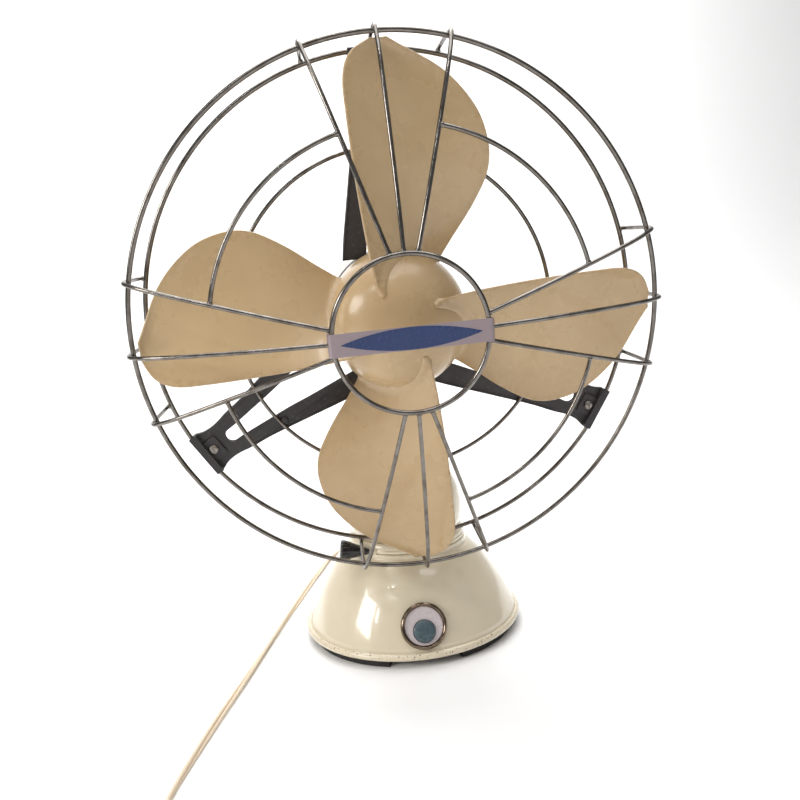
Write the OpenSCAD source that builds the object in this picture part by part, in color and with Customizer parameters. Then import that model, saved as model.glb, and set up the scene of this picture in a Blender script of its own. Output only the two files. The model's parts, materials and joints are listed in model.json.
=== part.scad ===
// Desk fan with a wire guard, a four-blade impeller and a ball neck on a domed base.
// Millimetres. +Z is up, the fan faces -Y, the origin is on the table under the base's centre.

/* [Base] */
// Radius of the base at its rolled bead
base_r = 98; // [90:1:104]
// Height of the base dome above the table
base_h = 81; // [79:1:83]
// Thickness of the base's pressed sheet
base_wall = 1.6; // [1.2:0.1:2]
// How far the rubber feet hold the base above the table
foot_h = 7; // [6:0.5:8]

/* [Neck] */
// Radius of the neck's ball
ball_r = 52; // [51:0.5:53]
// Height of the ball's centre above the table
ball_z = 112; // [111:0.5:114]
// How far the head nods down at rest, in degrees
head_tilt = 6.7; // [0:0.1:8]
// Distance from the ball's centre up to the motor's axis
axis_rise = 175.6; // [172:0.2:180]

/* [Motor] */
// Outer radius of the motor's housing
motor_r = 50; // [48:0.5:52]
// Diameter of the motor's shaft
shaft_d = 8; // [7:0.5:9]

/* [Impeller] */
// Radius of the hub's dome
hub_r = 51.2; // [50:0.2:52]
// Number of blades
blade_count = 4; // [3:1:5]
// Thickness of a blade
blade_t = 2; // [1.6:0.1:2.6]

/* [Guard] */
// Radius of the outer ring, to the middle of the wire
guard_r = 185; // [183:0.5:190]
// Diameter of the rings' wire
ring_wire = 3.5; // [3:0.1:4]
// Diameter of the radial wires
spoke_wire = 3; // [2.5:0.1:3.5]
// Radius of the ring round the badge strap
centre_r = 51.6; // [50:0.2:54]
// Radius of the four middle arcs
mid_r = 129; // [120:1:140]

/* [Badge and button] */
// Outer diameter of the bezel on the base
bezel_d = 38; // [36:0.5:39]
// Diameter of the push button
button_d = 18; // [17:0.5:19]
// How far the push button travels
button_travel = 3; // [2:0.5:3.5]

/* [Cord] */
// Width of the flat twin cord
cord_d = 5.2; // [4.6:0.2:6]

/* [Hidden] */

fine = 96;         // facets of large round parts
coarse = 32;       // facets of small round parts
gap = 0.3;         // clearance between parts that move past each other
fit = 0.05;        // radial clearance of a running fit

// ---- Places ----

rim_z = foot_h;                    // the base's lower edge
rear_ring_z = 55.5;                // the rings' places along the motor's axis, forward positive
front_ring_z = 100.9;
inner_ring_z = 51.55;
centre_ring_z = 146;
mid_arc_z = 131;
inner_r = 121.6;
rear_r = 182.7;
arm_t = 5;
arm_turns = [91, 211, 331];        // directions of the three arms
arm_rise = 3.4;                    // how far each arm leans forward, in degrees
arm_face_z = inner_ring_z - spoke_wire / 2 - 0.05;   // the arms' front face under the inner ring

badge_lean = 24;                   // the flank's slope at the badge, from upright
badge_y = 86.6;
badge_z = 32.2;
button_drop = 4.2;                   // the button's centre below the badge's centre

cup_t = 2;                         // wall of the cup that holds the ball
cup_top = ball_z - 21;
flange_z = base_h + 1.4 + gap;     // underside of the cup's flange, just above the base's collar
flange_r = 52.5;
neck_hole = 46;                    // radius of the dome's opening for the cup
bridge_z = 48;                     // top of the bridge inside the base
stud_r = 4;

knob_in = 36.5;                    // the knob's inner and outer ends, from the middle plane
knob_out = 61;
screw_y = -40.4;
screw_z = 89.4;                    // height of the clamp screw's outer end
screw_dip = 10;                    // how far the screw dips towards the cup, in degrees
knob_length = (knob_out - knob_in) / cos(screw_dip);
clamp_screw_r = 1.6;

cord_exit = [0, 122, 22];          // where the cord leaves the grommet
coil_x = -224;
coil_y = -274;
coil_mean_r = 31;
coil_turn_rows = 3;
coil_layers = 2;
cord_rest = cord_d / 2 + 0.1;      // height of the cord's middle where it lies on the table

// The cord's route from the grommet to the coil
cord_route = [
    [0, 122, 22], [0, 128, 21.3], [0, 140, 17], [0, 152, 10.6], [-1, 164, 5], [-3, 176, cord_rest],
    [-7, 192, cord_rest], [-15, 208, cord_rest], [-27, 221, cord_rest], [-42, 226, cord_rest],
    [-57, 221, cord_rest], [-68, 209, cord_rest], [-76, 192, cord_rest], [-84, 165, cord_rest],
    [-94, 130, cord_rest], [-104, 92, cord_rest], [-119, 34, cord_rest], [-134, -24, cord_rest],
    [-148, -80, cord_rest], [-162, -135, cord_rest], [-173, -182, cord_rest], [-180, -215, cord_rest],
    [-184, -240, cord_rest], [-186.6, -262, cord_rest]
];

// ---- Shared functions ----

// One step of a Catmull-Rom curve through b and c
function blend_point(a, b, c, d, t) =
    0.5 * ((2 * b) + (c - a) * t + (2 * a - 5 * b + 4 * c - d) * t * t + (3 * b - a - 3 * c + d) * t * t * t);

// The place at parameter s, from 0 to 1, on a smooth curve through the points
function along(points, s) =
    let (last = len(points) - 1, x = s * last, i = min(floor(x), last - 1))
    blend_point(
        i == 0 ? 2 * points[0] - points[1] : points[i - 1],
        points[i], points[i + 1],
        i == last - 1 ? 2 * points[last] - points[last - 1] : points[i + 2],
        x - i
    );

// A smooth curve through the points, with so many steps between two of them
function smooth(points, steps) =
    [for (k = [0 : (len(points) - 1) * steps]) along(points, k / ((len(points) - 1) * steps))];

function unit(v) = v / norm(v);

// A round tube of diameter d whose rings stand at the route's points; across is a fixed sideways direction
module swept_tube(route, d, sides, across) {
    last = len(route) - 1;
    rings = [
        for (i = [0 : last])
            let (
                ahead = unit(route[min(i + 1, last)] - route[max(i - 1, 0)]),
                side = is_undef(across) ? unit(cross(ahead, [0, 0, 1])) : across,
                up = cross(side, ahead)
            )
            for (k = [0 : sides - 1])
                route[i] + d / 2 * (cos(360 * k / sides) * side + sin(360 * k / sides) * up)
    ];
    walls = [
        for (i = [0 : last - 1], k = [0 : sides - 1])
            let (n = (k + 1) % sides)
            [i * sides + k, i * sides + n, (i + 1) * sides + n, (i + 1) * sides + k]
    ];
    start_cap = [[for (k = [0 : sides - 1]) sides - 1 - k]];
    end_cap = [[for (k = [0 : sides - 1]) last * sides + k]];
    polyhedron(points = rings, faces = concat(walls, start_cap, end_cap), convexity = 8);
}

// ---- Frames ----

// The neck's frame: origin at the ball's centre, nodding with the head
module on_neck() {
    translate([0, 0, ball_z]) rotate([head_tilt, 0, 0]) children();
}

// The head's frame: x to the right, y up, z forward along the motor's axis
module on_head() {
    on_neck() translate([0, 0, axis_rise]) rotate([90, 0, 0]) children();
}

// The clamp screw's frame: origin at the knob's outer end, z inward along the screw
module on_screw() {
    translate([-knob_out, screw_y, screw_z]) rotate([0, 90 + screw_dip, 0]) children();
}

// The badge's frame: y up the flank, z straight out of it
module on_badge() {
    translate([0, -badge_y, badge_z]) rotate([90 - badge_lean, 0, 0]) children();
}

// ---- Base ----

// Half section of the dome's outside, from the bead to the crown
dome_points = [[93.5, 16], [90, 24.5], [84.3, 37], [79.5, 46], [74, 55], [66.5, 66], [58, base_h - 6.5]];
dome_curve = smooth(dome_points, 3);
bead_r = 3;

module base_shell() {
    color("ivory") difference() {
        union() {
            rotate_extrude($fn = fine) polygon(concat(
                dome_curve,
                [for (i = [len(dome_curve) - 1 : -1 : 0]) dome_curve[i] - [base_wall * 0.9,
                    base_wall * 0.5]],
                [[91.9, rim_z + 4], [93.5, rim_z + 4]]
            ));
            translate([0, 0, rim_z + bead_r]) rotate_extrude($fn = fine)
                translate([base_r - bead_r, 0]) circle(r = bead_r, $fn = coarse);
        }
        on_badge() translate([0, 0, -20]) cylinder(d = bezel_d - 4, h = 40, $fn = fine);
        translate([0, 60, cord_exit[2]]) rotate([-90, 0, 0]) cylinder(r = 6, h = 60, $fn = coarse);
    }
}

plate_z = rim_z + 0.2;             // underside of the plate that closes the base
plate_t = 2;
foot_screw_r = 78;                 // the four screws through the plate
weight_r = 84;
weight_h = 12;

module base_plate() {
    color("dimgray") difference() {
        translate([0, 0, plate_z]) cylinder(r = 91.4, h = plate_t, $fn = fine);
        at_feet() translate([foot_screw_r, 0, rim_z - 1]) cylinder(r = 2.2, h = 5, $fn = coarse);
        translate([0, 0, rim_z - 1]) cylinder(r = 14, h = 5, $fn = coarse);
    }
}

module at_feet() {
    for (a = [45 : 90 : 315]) rotate(a) children();
}

// Four arcs of soft rubber under the bead
module rubber_feet() {
    span = 51.5;
    color("black") at_feet() rotate(-span / 2)
        rotate_extrude(angle = span, $fn = fine)
            polygon([[80, 0.8], [81, 0], [91, 0], [92, 0.8], [91.6, foot_h], [90, foot_h], [90,
                plate_z], [80, plate_z]]);
}

// Iron ring on the plate, cut away for the switch and for the cord
module base_weight() {
    color("darkslategray") translate([0, 0, plate_z + plate_t]) difference() {
        cylinder(r = weight_r, h = weight_h, $fn = fine);
        translate([0, 0, -1]) cylinder(r = 34, h = weight_h + 2, $fn = fine);
        translate([0, -weight_r, weight_h]) cube([60, 60, 40], center = true);
        translate([0, weight_r, weight_h]) cube([30, 40, 40], center = true);
        at_feet() translate([foot_screw_r, 0, -1]) cylinder(r = 1.95, h = weight_h + 2, $fn = coarse);
    }
}

// Screws from below, through the plate into the iron weight
module base_screws() {
    color("silver") at_feet() translate([foot_screw_r, 0, plate_z]) cylinder(r = 1.9, h = 11, $fn = coarse);
}

// Crown of the dome, with a fixed step round the swivelling cup
module base_collar() {
    bore = neck_hole - 0.6;
    color("ivory") rotate_extrude($fn = fine) translate([0, base_h]) polygon([
        [58, -6.5], [54.3, -4.2], [53, -3.3], [52.8, -1.9], [53.2, -1], [53, 0.4], [52, 1.4],
        [bore, 1.4], [bore, -1.6], [48.8, -2.8], [52.8, -5], [56.56, -7.3]
    ]);
}

// ---- Badge and button ----

bezel_w = 3.4;                     // width of the bezel's ring

module badge_bezel() {
    r = bezel_d / 2;
    color("gainsboro") on_badge() rotate_extrude($fn = fine)
        polygon([
            [r - bezel_w, 1.4], [r - 2.8, 2.4], [r - 1.7, 3], [r - 0.6, 2.4], [r, 1.2],
            [r, 0.4], [r - 2.1, -0.2], [r - 2.1, -6], [r - bezel_w, -6]
        ]);
}

module badge_plate() {
    color("mistyrose") on_badge() difference() {
        translate([0, 0, -1.2]) cylinder(r = bezel_d / 2 - bezel_w, h = 1.8, $fn = fine);
        translate([0, -button_drop, -3]) cylinder(d = button_d + 2 * gap, h = 6, $fn = fine);
    }
}

module switch_body() {
    color("saddlebrown") on_badge() difference() {
        translate([0, -button_drop + 1, -14.6]) cube([24, 18, 15], center = true);
        translate([0, -button_drop, -13]) cylinder(d = 6 + 2 * gap, h = 12, $fn = coarse);
    }
}

module push_button() {
    r = button_d / 2;
    color("cadetblue") on_badge() translate([0, -button_drop, 0]) {
        rotate_extrude($fn = fine) polygon([
            [0, -3], [r, -3], [r, 2.2], [r - 0.5, 2.9], [r - 1.4, 3.2], [r * 0.6, 3.5], [0, 3.6]
        ]);
        translate([0, 0, -8.5]) cylinder(d = 6, h = 5.5, $fn = coarse);
    }
}

// ---- Cord ----

module cord_grommet() {
    color("ivory") translate([0, 0, cord_exit[2]]) rotate([-90, 0, 0]) rotate_extrude($fn = coarse)
        polygon([
            [0, 82], [8, 82], [8, 84.6], [5.9, 85], [5.9, 94.6], [8, 94.8], [7.8, 97],
            [4.8, 101], [cord_d / 2 + 0.4, cord_exit[1]], [0, cord_exit[1]]
        ]);
}

module power_cord() {
    color("blanchedalmond") swept_tube(smooth(cord_route, 3), cord_d, 8);
}

// Outer shape of the coil: rows of turns side by side in layers
module cord_coil() {
    r_in = coil_mean_r - coil_turn_rows * cord_d / 2;
    color("blanchedalmond") translate([coil_x, coil_y, 0]) rotate_extrude($fn = fine)
        translate([r_in, 0.1]) square([coil_turn_rows * cord_d, coil_layers * cord_d]);
}

plug_x = coil_x - 12;
plug_y = coil_y - 38.6;
plug_z = 7.6;

// A two-pin plug lying beside the coil, its tail at the coil's last turn
module plug_body() {
    color("ivory") translate([plug_x, plug_y, plug_z]) rotate([0, -90, 0]) {
        rotate_extrude($fn = coarse)
            polygon([[0, 0], [cord_d / 2 + 0.3, 0], [4.4, 22], [5.4, 24], [0, 24]]);
        hull() for (y = [-7, 7]) translate([0, y, 24]) {
            translate([0, 0, 1.2]) cylinder(r = 7.2, h = 22, $fn = coarse);
            cylinder(r = 6, h = 24.4, $fn = coarse);
        }
    }
}

module plug_pins() {
    color("gold") translate([plug_x - 48.4, plug_y, plug_z]) rotate([0, -90, 0])
        for (y = [-9.5, 9.5]) translate([0, y, 0]) {
            cylinder(d = 4, h = 17.5, $fn = coarse);
            translate([0, 0, 17.5]) cylinder(d1 = 4, d2 = 2.6, h = 1.5, $fn = coarse);
        }
}

// ---- Neck ----

// Half-width of a ball of radius r at height z
function ball_at(r, z) = sqrt(r * r - (z - ball_z) * (z - ball_z));

// The steel bridge inside the base that the swivel is bolted to
module neck_bridge() {
    leg_x = 41;
    color("gray") difference() {
        union() {
            translate([-leg_x, -13, bridge_z - 3]) cube([2 * leg_x, 26, 3]);
            for (x = [-leg_x, leg_x - 3]) translate([x, -13, rim_z + 14.2])
                cube([3, 26, bridge_z - rim_z - 14.2]);
            for (x = [-leg_x - 11, leg_x - 3]) translate([x, -13, rim_z + 14.2]) cube([14, 26, 3]);
        }
        translate([0, 0, bridge_z - 4]) cylinder(r = stud_r + fit, h = 6, $fn = coarse);
    }
}

// The turning cup: a stepped flange on the base's collar, and a bowl that the ball sits in
module socket_cup() {
    in_r = ball_r + gap;
    out_r = in_r + cup_t;
    bottom = ball_z - out_r + 0.6;
    steps = 10;
    rise = flange_z - 1 - bottom;
    outer = [for (i = [0 : steps]) let (z = bottom + rise * i / steps) [ball_at(out_r, z), z]];
    color("ivory") difference() {
        union() {
            rotate_extrude($fn = fine) polygon(concat(
                [[0, bottom]], outer,
                [
                    [neck_hole - 1, flange_z - 0.6], [neck_hole - 0.8, flange_z],
                    [flange_r - 0.6, flange_z], [flange_r, flange_z + 0.6],
                    [flange_r, flange_z + 2.4], [flange_r - 0.9, flange_z + 3.1], [flange_r - 0.9,
                        flange_z + 4.1],
                    [flange_r - 0.3, flange_z + 4.7], [flange_r - 1, flange_z + 6.6], [50.4, cup_top],
                        [0, cup_top]
                ]
            ));
            intersection() {
                on_screw() translate([0, 0, knob_length + 0.5]) cylinder(r = 3.2, h = 7.6, $fn = coarse);
                translate([0, 0, flange_z]) cylinder(r = 60, h = 20, $fn = coarse);
            }
        }
        translate([0, 0, bottom - 1]) cylinder(r = stud_r + 0.02, h = 10, $fn = coarse);
        on_screw() translate([0, 0, knob_length]) cylinder(r = clamp_screw_r + fit, h = 4, $fn = coarse);
        translate([0, 0, ball_z]) sphere(r = in_r, $fn = fine);
    }
}

yoke_z = 65.5;

// The stud that the cup turns on, through the bridge
module swivel_stud() {
    color("silver") {
        cylinder_between(stud_r, bridge_z - 22, yoke_z + 3);
        cylinder_between(7, yoke_z + 3, yoke_z + 6);
    }
}

module cylinder_between(r, z0, z1) {
    translate([0, 0, z0]) cylinder(r = r, h = z1 - z0, $fn = coarse);
}

module swivel_washer() {
    color("silver") rotate_extrude($fn = coarse)
        polygon([[stud_r + 0.02, bridge_z - 5], [9, bridge_z - 3.3], [9, bridge_z - 4.3],
            [stud_r + 0.02, bridge_z - 6]]);
}

module swivel_nut() {
    color("silver") difference() {
        translate([0, 0, bridge_z - 12]) cylinder(r = 7.5, h = 6, $fn = 6);
        translate([0, 0, bridge_z - 13]) cylinder(r = stud_r, h = 8, $fn = coarse);
    }
}

// Two ears inside the hollow ball, holding the pin that the head nods on
module tilt_yoke() {
    color("gray") difference() {
        union() {
            cylinder_between(10, ball_z - ball_r + 0.9, yoke_z + 3);
            translate([-22, -8, yoke_z]) cube([44, 16, 3]);
            for (x = [-22, 18]) {
                translate([x, -8, yoke_z]) cube([4, 16, ball_z - yoke_z]);
                translate([x, 0, ball_z]) rotate([0, 90, 0]) cylinder(r = 8, h = 4, $fn = coarse);
            }
        }
        cylinder_between(stud_r + 0.02, 50, yoke_z + 4);
        translate([-30, 0, ball_z]) rotate([0, 90, 0]) cylinder(r = 4, h = 60, $fn = coarse);
    }
}

module tilt_pin() {
    color("silver") translate([-46, 0, ball_z]) rotate([0, 90, 0]) cylinder(r = 4, h = 92, $fn = coarse);
}

// Thumbscrew that clamps the ball: a steel screw in the cup's boss and a black conical knob
module clamp_screw() {
    color("silver") on_screw()
        translate([0, 0, 6]) cylinder(r = clamp_screw_r, h = knob_length - 2.5, $fn = coarse);
}

module clamp_knob() {
    flutes = 12;
    color("black") on_screw() difference() {
        rotate_extrude($fn = 48) polygon([
            [0, 0], [6.6, 0], [8.2, 0.5], [8.7, 1.6], [8.4, 4],
            [2.7, knob_length - 1], [2.1, knob_length], [0, knob_length]
        ]);
        for (k = [0 : flutes - 1]) rotate(360 * k / flutes)
            translate([9.6, 0, -1]) cylinder(r = 1.4, h = 8, $fn = 16);
        translate([0, 0, 6]) cylinder(r = clamp_screw_r, h = knob_length, $fn = coarse);
    }
}

// ---- Ball and column ----

ball_low = 43.8;                   // how far the ball's shell runs below and above its equator, in degrees
ball_high = 47;
ball_wall = 2.5;

module neck_ball() {
    arc = [for (i = [0 : 16]) -ball_low + (ball_low + ball_high) * i / 16];
    color("ivory") on_neck() difference() {
        union() {
            rotate_extrude($fn = fine) polygon(concat(
                [for (a = arc) ball_r * [cos(a), sin(a)]],
                [for (i = [16 : -1 : 0]) (ball_r - ball_wall) * [cos(arc[i]), sin(arc[i])]]
            ));
            for (m = [0, 1]) mirror([m, 0, 0]) translate([22.5, 0, 0]) rotate([0, 90, 0])
                cylinder(r = 8, h = 27.4, $fn = coarse);
        }
        translate([-47, 0, 0]) rotate([0, 90, 0]) cylinder(r = 4 + fit, h = 94, $fn = coarse);
    }
}

column_points = [[34.6, 38.1], [28.5, 43], [24, 52], [22, 66], [22.5, 84], [25, 100], [29, 114], [34,
    127], [37, 144]];

module neck_column() {
    column_curve = smooth(column_points, 2);
    color("ivory") on_neck() difference() {
        rotate_extrude($fn = fine) polygon(concat([[12, 38.1]], column_curve, [[12, 144]]));
        translate([0, 80, axis_rise]) rotate([90, 0, 0]) cylinder(r = motor_r, h = 160, $fn = fine);
        translate([-60, -100, 104]) cube([120, 80, 60]);
    }
}

// ---- Motor ----

bush_r = 10;

module motor_front() {
    color("ivory") on_head() difference() {
        rotate_extrude($fn = fine) polygon([
            [motor_r, 0.2], [motor_r, 17], [motor_r - 0.7, 20.4], [motor_r - 2.6, 22.9],
                [motor_r - 5.4, spider_back_z],
            [29.5, spider_back_z], [26.8, 26], [23.6, 36], [20.6, 50], [19.4, 55.4], [17.4, 58],
                [bush_r, 58],
            [bush_r, 44], [17, 44], [20.4, 33], [24, 24], [26.4, 21.7], [motor_r - 6, 21.7],
                [motor_r - 2.5, 18],
            [motor_r - 2.5, 0.2]
        ]);
        for (a = arm_turns) rotate(a + 60) translate([spider_screw_r, 0, 15])
            cylinder(r = 2, h = 12, $fn = coarse);
    }
}

module motor_rear() {
    wall = 2.5;
    slots = 12;
    color("ivory") on_head() difference() {
        rotate_extrude($fn = fine) polygon([
            [motor_r, 0], [motor_r, -34], [motor_r - 1.6, -42], [motor_r - 6, -50], [motor_r - 13, -56],
            [25, -60.4], [0, -62],
            [0, -59], [6, -58.8], [6, -54], [bush_r, -54], [bush_r, -42], [bush_r + 2.5, -42], [14,
                -57], [24, -56.2],
            [motor_r - 15, -52.6], [motor_r - 8, -47.4], [motor_r - 4, -40.6], [motor_r - wall, -33.4],
                [motor_r - wall, 0]
        ]);
        for (k = [0 : slots - 1]) rotate(360 * k / slots) translate([20, -1.6, -66]) cube([12, 3.2, 14]);
        for (k = [0 : slots - 1]) rotate(360 * k / slots) {
            translate([20, 0, -66]) cylinder(r = 1.6, h = 14, $fn = 16);
            translate([32, 0, -66]) cylinder(r = 1.6, h = 14, $fn = 16);
        }
    }
}

// Long bolts that pull the two halves of the housing together through the stator
module motor_bolts() {
    color("silver") on_head() for (a = [45 : 90 : 315]) rotate(a) translate([43, 0, -38])
        cylinder(r = 2, h = 58, $fn = coarse);
}

module stator() {
    color("darkgoldenrod") on_head() difference() {
        translate([0, 0, -33]) cylinder(r = motor_r - 2.5, h = 50, $fn = fine);
        translate([0, 0, -34]) cylinder(r = 29.2, h = 52, $fn = fine);
        for (a = [45 : 90 : 315]) rotate(a) translate([43, 0, -34]) cylinder(r = 2, h = 52, $fn = coarse);
    }
}

module front_bearing() {
    color("goldenrod") on_head() difference() {
        translate([0, 0, 44]) cylinder(r = bush_r, h = 14, $fn = coarse);
        translate([0, 0, 43]) cylinder(r = shaft_d / 2 + fit, h = 16, $fn = coarse);
    }
}

module rear_bearing() {
    color("goldenrod") on_head() difference() {
        translate([0, 0, -54]) cylinder(r = bush_r, h = 12, $fn = coarse);
        translate([0, 0, -55]) cylinder(r = shaft_d / 2 + fit, h = 14, $fn = coarse);
    }
}

// ---- Spider ----

spider_back_z = 24.2;              // the motor's front face, which the spider's ring sits on
spider_screw_r = 38;
spider_rim_z = 45;                 // front edge of the ring's raised wall
pad_half = 17.3;                   // half-width and outer end of the pad at an arm's end
pad_end = 184.4;
clamp_screw_u = 174.5;

// An arm's outer edge and the edge of its gap, as distance from the axis and half-width
arm_edge = [
    [30, 37.4], [37, 36.5], [47, 35], [59.4, 33.1], [74.5, 30.2], [98, 25.6], [115, 22.3], [133, 19],
        [146, 17.4],
    [153, 16.4], [160, 15], [166, 14.5], [172, 15], [176, 16.3], [178.5, pad_half], [pad_end, pad_half]
];
gap_edge = [[20, 22], [46, 18], [64, 16], [88.7, 13.1], [109, 10.3], [133, 8], [150, 6.4], [156.5, 6.2]];

// An arm's frame: x outward along its front face, y across, z forward out of the face
module on_arm(turn) {
    rotate(turn) translate([inner_r, 0, arm_face_z]) rotate([0, -arm_rise, 0])
        translate([-inner_r, 0, 0]) children();
}

module each_arm() {
    for (turn = arm_turns) on_arm(turn) children();
}

// The area between an edge and its mirror image across the arm's middle line
module both_sides(edge) {
    polygon(concat(edge, [for (i = [len(edge) - 1 : -1 : 0]) [edge[i][0], -edge[i][1]]]));
}

// A flat arm: two legs that meet at a flared pad, with a round-ended gap between them
module arm_plate() {
    translate([0, 0, -arm_t]) linear_extrude(arm_t) difference() {
        both_sides(arm_edge);
        both_sides(gap_edge);
        translate([156.5, 0]) circle(r = 6.2, $fn = coarse);
    }
}

// A rib along the outer edge of each leg, behind the plate, and a lug beside the inner ring
module arm_ribs() {
    for (m = [0, 1]) mirror([0, m, 0]) {
        translate([48, 34.6, -arm_t - 4]) rotate(-10.5) translate([0, -3, 0]) cube([84, 3, 4.5]);
        translate([115, 12, -1]) cube([3.5, 6, 3.2]);
    }
}

// One casting: a dished ring on the motor's front and three arms leaning forward
module spider() {
    color("dimgray") on_head() difference() {
        union() {
            translate([0, 0, spider_back_z]) cylinder(r = 50, h = spider_rim_z - spider_back_z, $fn = fine);
            each_arm() {
                arm_plate();
                arm_ribs();
            }
        }
        translate([0, 0, spider_back_z + 5.4]) cylinder(r = 44, h = 40, $fn = fine);
        translate([0, 0, spider_back_z - 1]) cylinder(r = 33, h = 12, $fn = fine);
        each_arm() translate([clamp_screw_u, 0, -20]) cylinder(r = 2, h = 40, $fn = coarse);
        for (turn = arm_turns) rotate(turn + 60) translate([spider_screw_r, 0, 10])
            cylinder(r = 2, h = 40, $fn = coarse);
    }
}

// Screws through the spider's ring into the motor's front
module spider_screws() {
    top = spider_back_z + 5.4;
    color("silver") on_head() for (turn = arm_turns) rotate(turn + 60)
        translate([spider_screw_r, 0, 0]) difference() {
        union() {
            translate([0, 0, 17.5]) cylinder(r = 2, h = top - 17.5, $fn = coarse);
            translate([0, 0, top]) cylinder(r = 3.8, h = 2.6, $fn = coarse);
        }
        translate([-5, -0.5, top + 1.4]) cube([10, 1, 2]);
    }
}

// A small clamp on each pad: a strip over the rear ring and a tab under the screw
module ring_clamps() {
    strip_u = 178.4;
    under = ring_wire + 0.25;
    color("dimgray") on_head() each_arm() difference() {
        union() {
            translate([strip_u, -pad_half, under]) cube([pad_end - strip_u, 2 * pad_half, 1.6]);
            translate([strip_u, -pad_half, 0]) cube([1.4, 2 * pad_half, under + 0.1]);
            translate([168, -8, 0]) cube([strip_u - 167.6, 16, 1.6]);
        }
        translate([clamp_screw_u, 0, -1]) cylinder(r = 2, h = 12, $fn = coarse);
    }
}

module clamp_bolts() {
    color("silver") on_head() each_arm() translate([clamp_screw_u, 0, 0]) difference() {
        union() {
            translate([0, 0, -arm_t - 2]) cylinder(r = 2, h = arm_t + 3.6, $fn = coarse);
            translate([0, 0, 1.6]) cylinder(r = 3.6, h = 2.4, $fn = coarse);
        }
        translate([-5, -0.5, 3]) cube([10, 1, 2]);
    }
}

// ---- Guard ----

module wire_ring(r, z, wire) {
    translate([0, 0, z]) rotate_extrude($fn = 144) translate([r, 0]) circle(d = wire, $fn = 20);
}

module rear_ring() { color("silver") on_head() wire_ring(rear_r, rear_ring_z, ring_wire); }
module inner_ring() { color("silver") on_head() wire_ring(inner_r, inner_ring_z, spoke_wire); }
module front_ring() { color("silver") on_head() wire_ring(guard_r, front_ring_z, ring_wire); }
module centre_ring() { color("silver") on_head() wire_ring(centre_r, centre_ring_z, ring_wire); }

over_front = guard_r + (ring_wire + spoke_wire) / 2;       // a radial wire's reach outside each ring
over_rear = rear_r + (ring_wire + spoke_wire) / 2;
group_in = 10;                     // the outer wires' turn from their group's middle at the centre
group_out = 14.9;                  // and at the rim
group_turns = [1.6 : 90 : 271.6];  // the four groups stand a little off the vertical

// Places along a radial wire, as distance from the axis and forward
spoke_points = [
    [centre_r + ring_wire / 2 - 0.2, 145.6], [80, 142], [105, 137], [mid_r, mid_arc_z], [155, 123.4],
        [172, 116.4],
    [181, 110.4], [186.2, 105.6], [over_front, front_ring_z], [189.4, 93], [188, 74], [over_rear, 53.5]
];

// One radial wire of the group that points up, k = -1, 0 or 1
module spoke(k) {
    reach = spoke_points[8][0];
    start = spoke_points[0][0];
    foot = start * [sin(k * group_in), cos(k * group_in)];
    head = reach * [sin(k * group_out), cos(k * group_out)];
    route = [
        for (p = smooth(spoke_points, 2))
            let (xy = foot + (head - foot) * (p[0] - start) / (reach - start))
            [xy[0], xy[1], p[1]]
    ];
    side = unit(cross([0, 0, 1], [head[0] - foot[0], head[1] - foot[1], 0]));
    swept_tube(route, spoke_wire, 8, side);
}

module radial_wires() {
    color("silver") on_head() for (turn = group_turns, k = [-1, 0, 1]) rotate(turn) spoke(k);
}

// Four arcs between the groups, butted against the groups' outer wires
module mid_arcs() {
    part = (mid_r - centre_r) / (over_front - centre_r);
    foot = centre_r * [sin(group_in), cos(group_in)];
    head = over_front * [sin(group_out), cos(group_out)];
    at = foot + (head - foot) * part;
    ends = atan2(at[0], at[1]) + asin((spoke_wire - 0.1) / 2 / mid_r);
    color("silver") on_head() for (turn = group_turns) rotate(turn + ends) translate([0, 0, mid_arc_z])
        rotate_extrude(angle = 90 - 2 * ends, $fn = 144) translate([mid_r, 0])
            circle(d = spoke_wire, $fn = 20);
}

// ---- Badge strap ----

strap_h = 15.2;
strap_t = 0.8;
strap_z = centre_ring_z + ring_wire / 2 + 0.5;

// The strap's frame: it sits a little low on the ring and slightly turned
module on_strap() {
    on_head() rotate(1.1) translate([0, -1.2, 0]) children();
}

// A flat strap whose ends are folded back round the centre ring, notched where a wire meets the ring
module badge_strap() {
    fold_r = ring_wire / 2 + 0.5;
    color("rosybrown") difference() {
        on_strap() {
            translate([-centre_r, -strap_h / 2, strap_z]) cube([2 * centre_r, strap_h, strap_t]);
            for (m = [0, 1]) mirror([m, 0, 0]) translate([centre_r, strap_h / 2, centre_ring_z])
                rotate([90, 0, 0])
                linear_extrude(strap_h) difference() {
                    circle(r = fold_r + strap_t, $fn = 48);
                    circle(r = fold_r, $fn = 48);
                    translate([-10, -5]) square([10, 10]);
                }
        }
        on_head() for (k = [-1, 0, 1]) rotate(group_turns[0] + k * group_in)
            translate([-60, -spoke_wire / 2 - gap, centre_ring_z - 6]) cube([120, spoke_wire + 2 * gap, 7.6]);
    }
}

// Plain lens-shaped field on the strap, with no lettering
module strap_emblem() {
    half_len = 46.5;
    half_h = strap_h / 2 - 0.3;
    lens_r = (half_len * half_len + half_h * half_h) / (2 * half_h);
    color("navy") on_strap() translate([0, 0, strap_z + strap_t]) intersection() {
        translate([0, lens_r - half_h, 0]) cylinder(r = lens_r, h = 0.4, $fn = 360);
        translate([0, half_h - lens_r, 0]) cylinder(r = lens_r, h = 0.4, $fn = 360);
    }
}

// ---- Rotor and impeller ----

module rotor_core() {
    color("slategray") on_head() difference() {
        translate([0, 0, -31]) cylinder(r = 28.6, h = 46, $fn = fine);
        translate([0, 0, -32]) cylinder(d = shaft_d, h = 48, $fn = coarse);
    }
}

module shaft() {
    color("silver") on_head() translate([0, 0, -53]) cylinder(d = shaft_d, h = 151, $fn = coarse);
}

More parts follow.
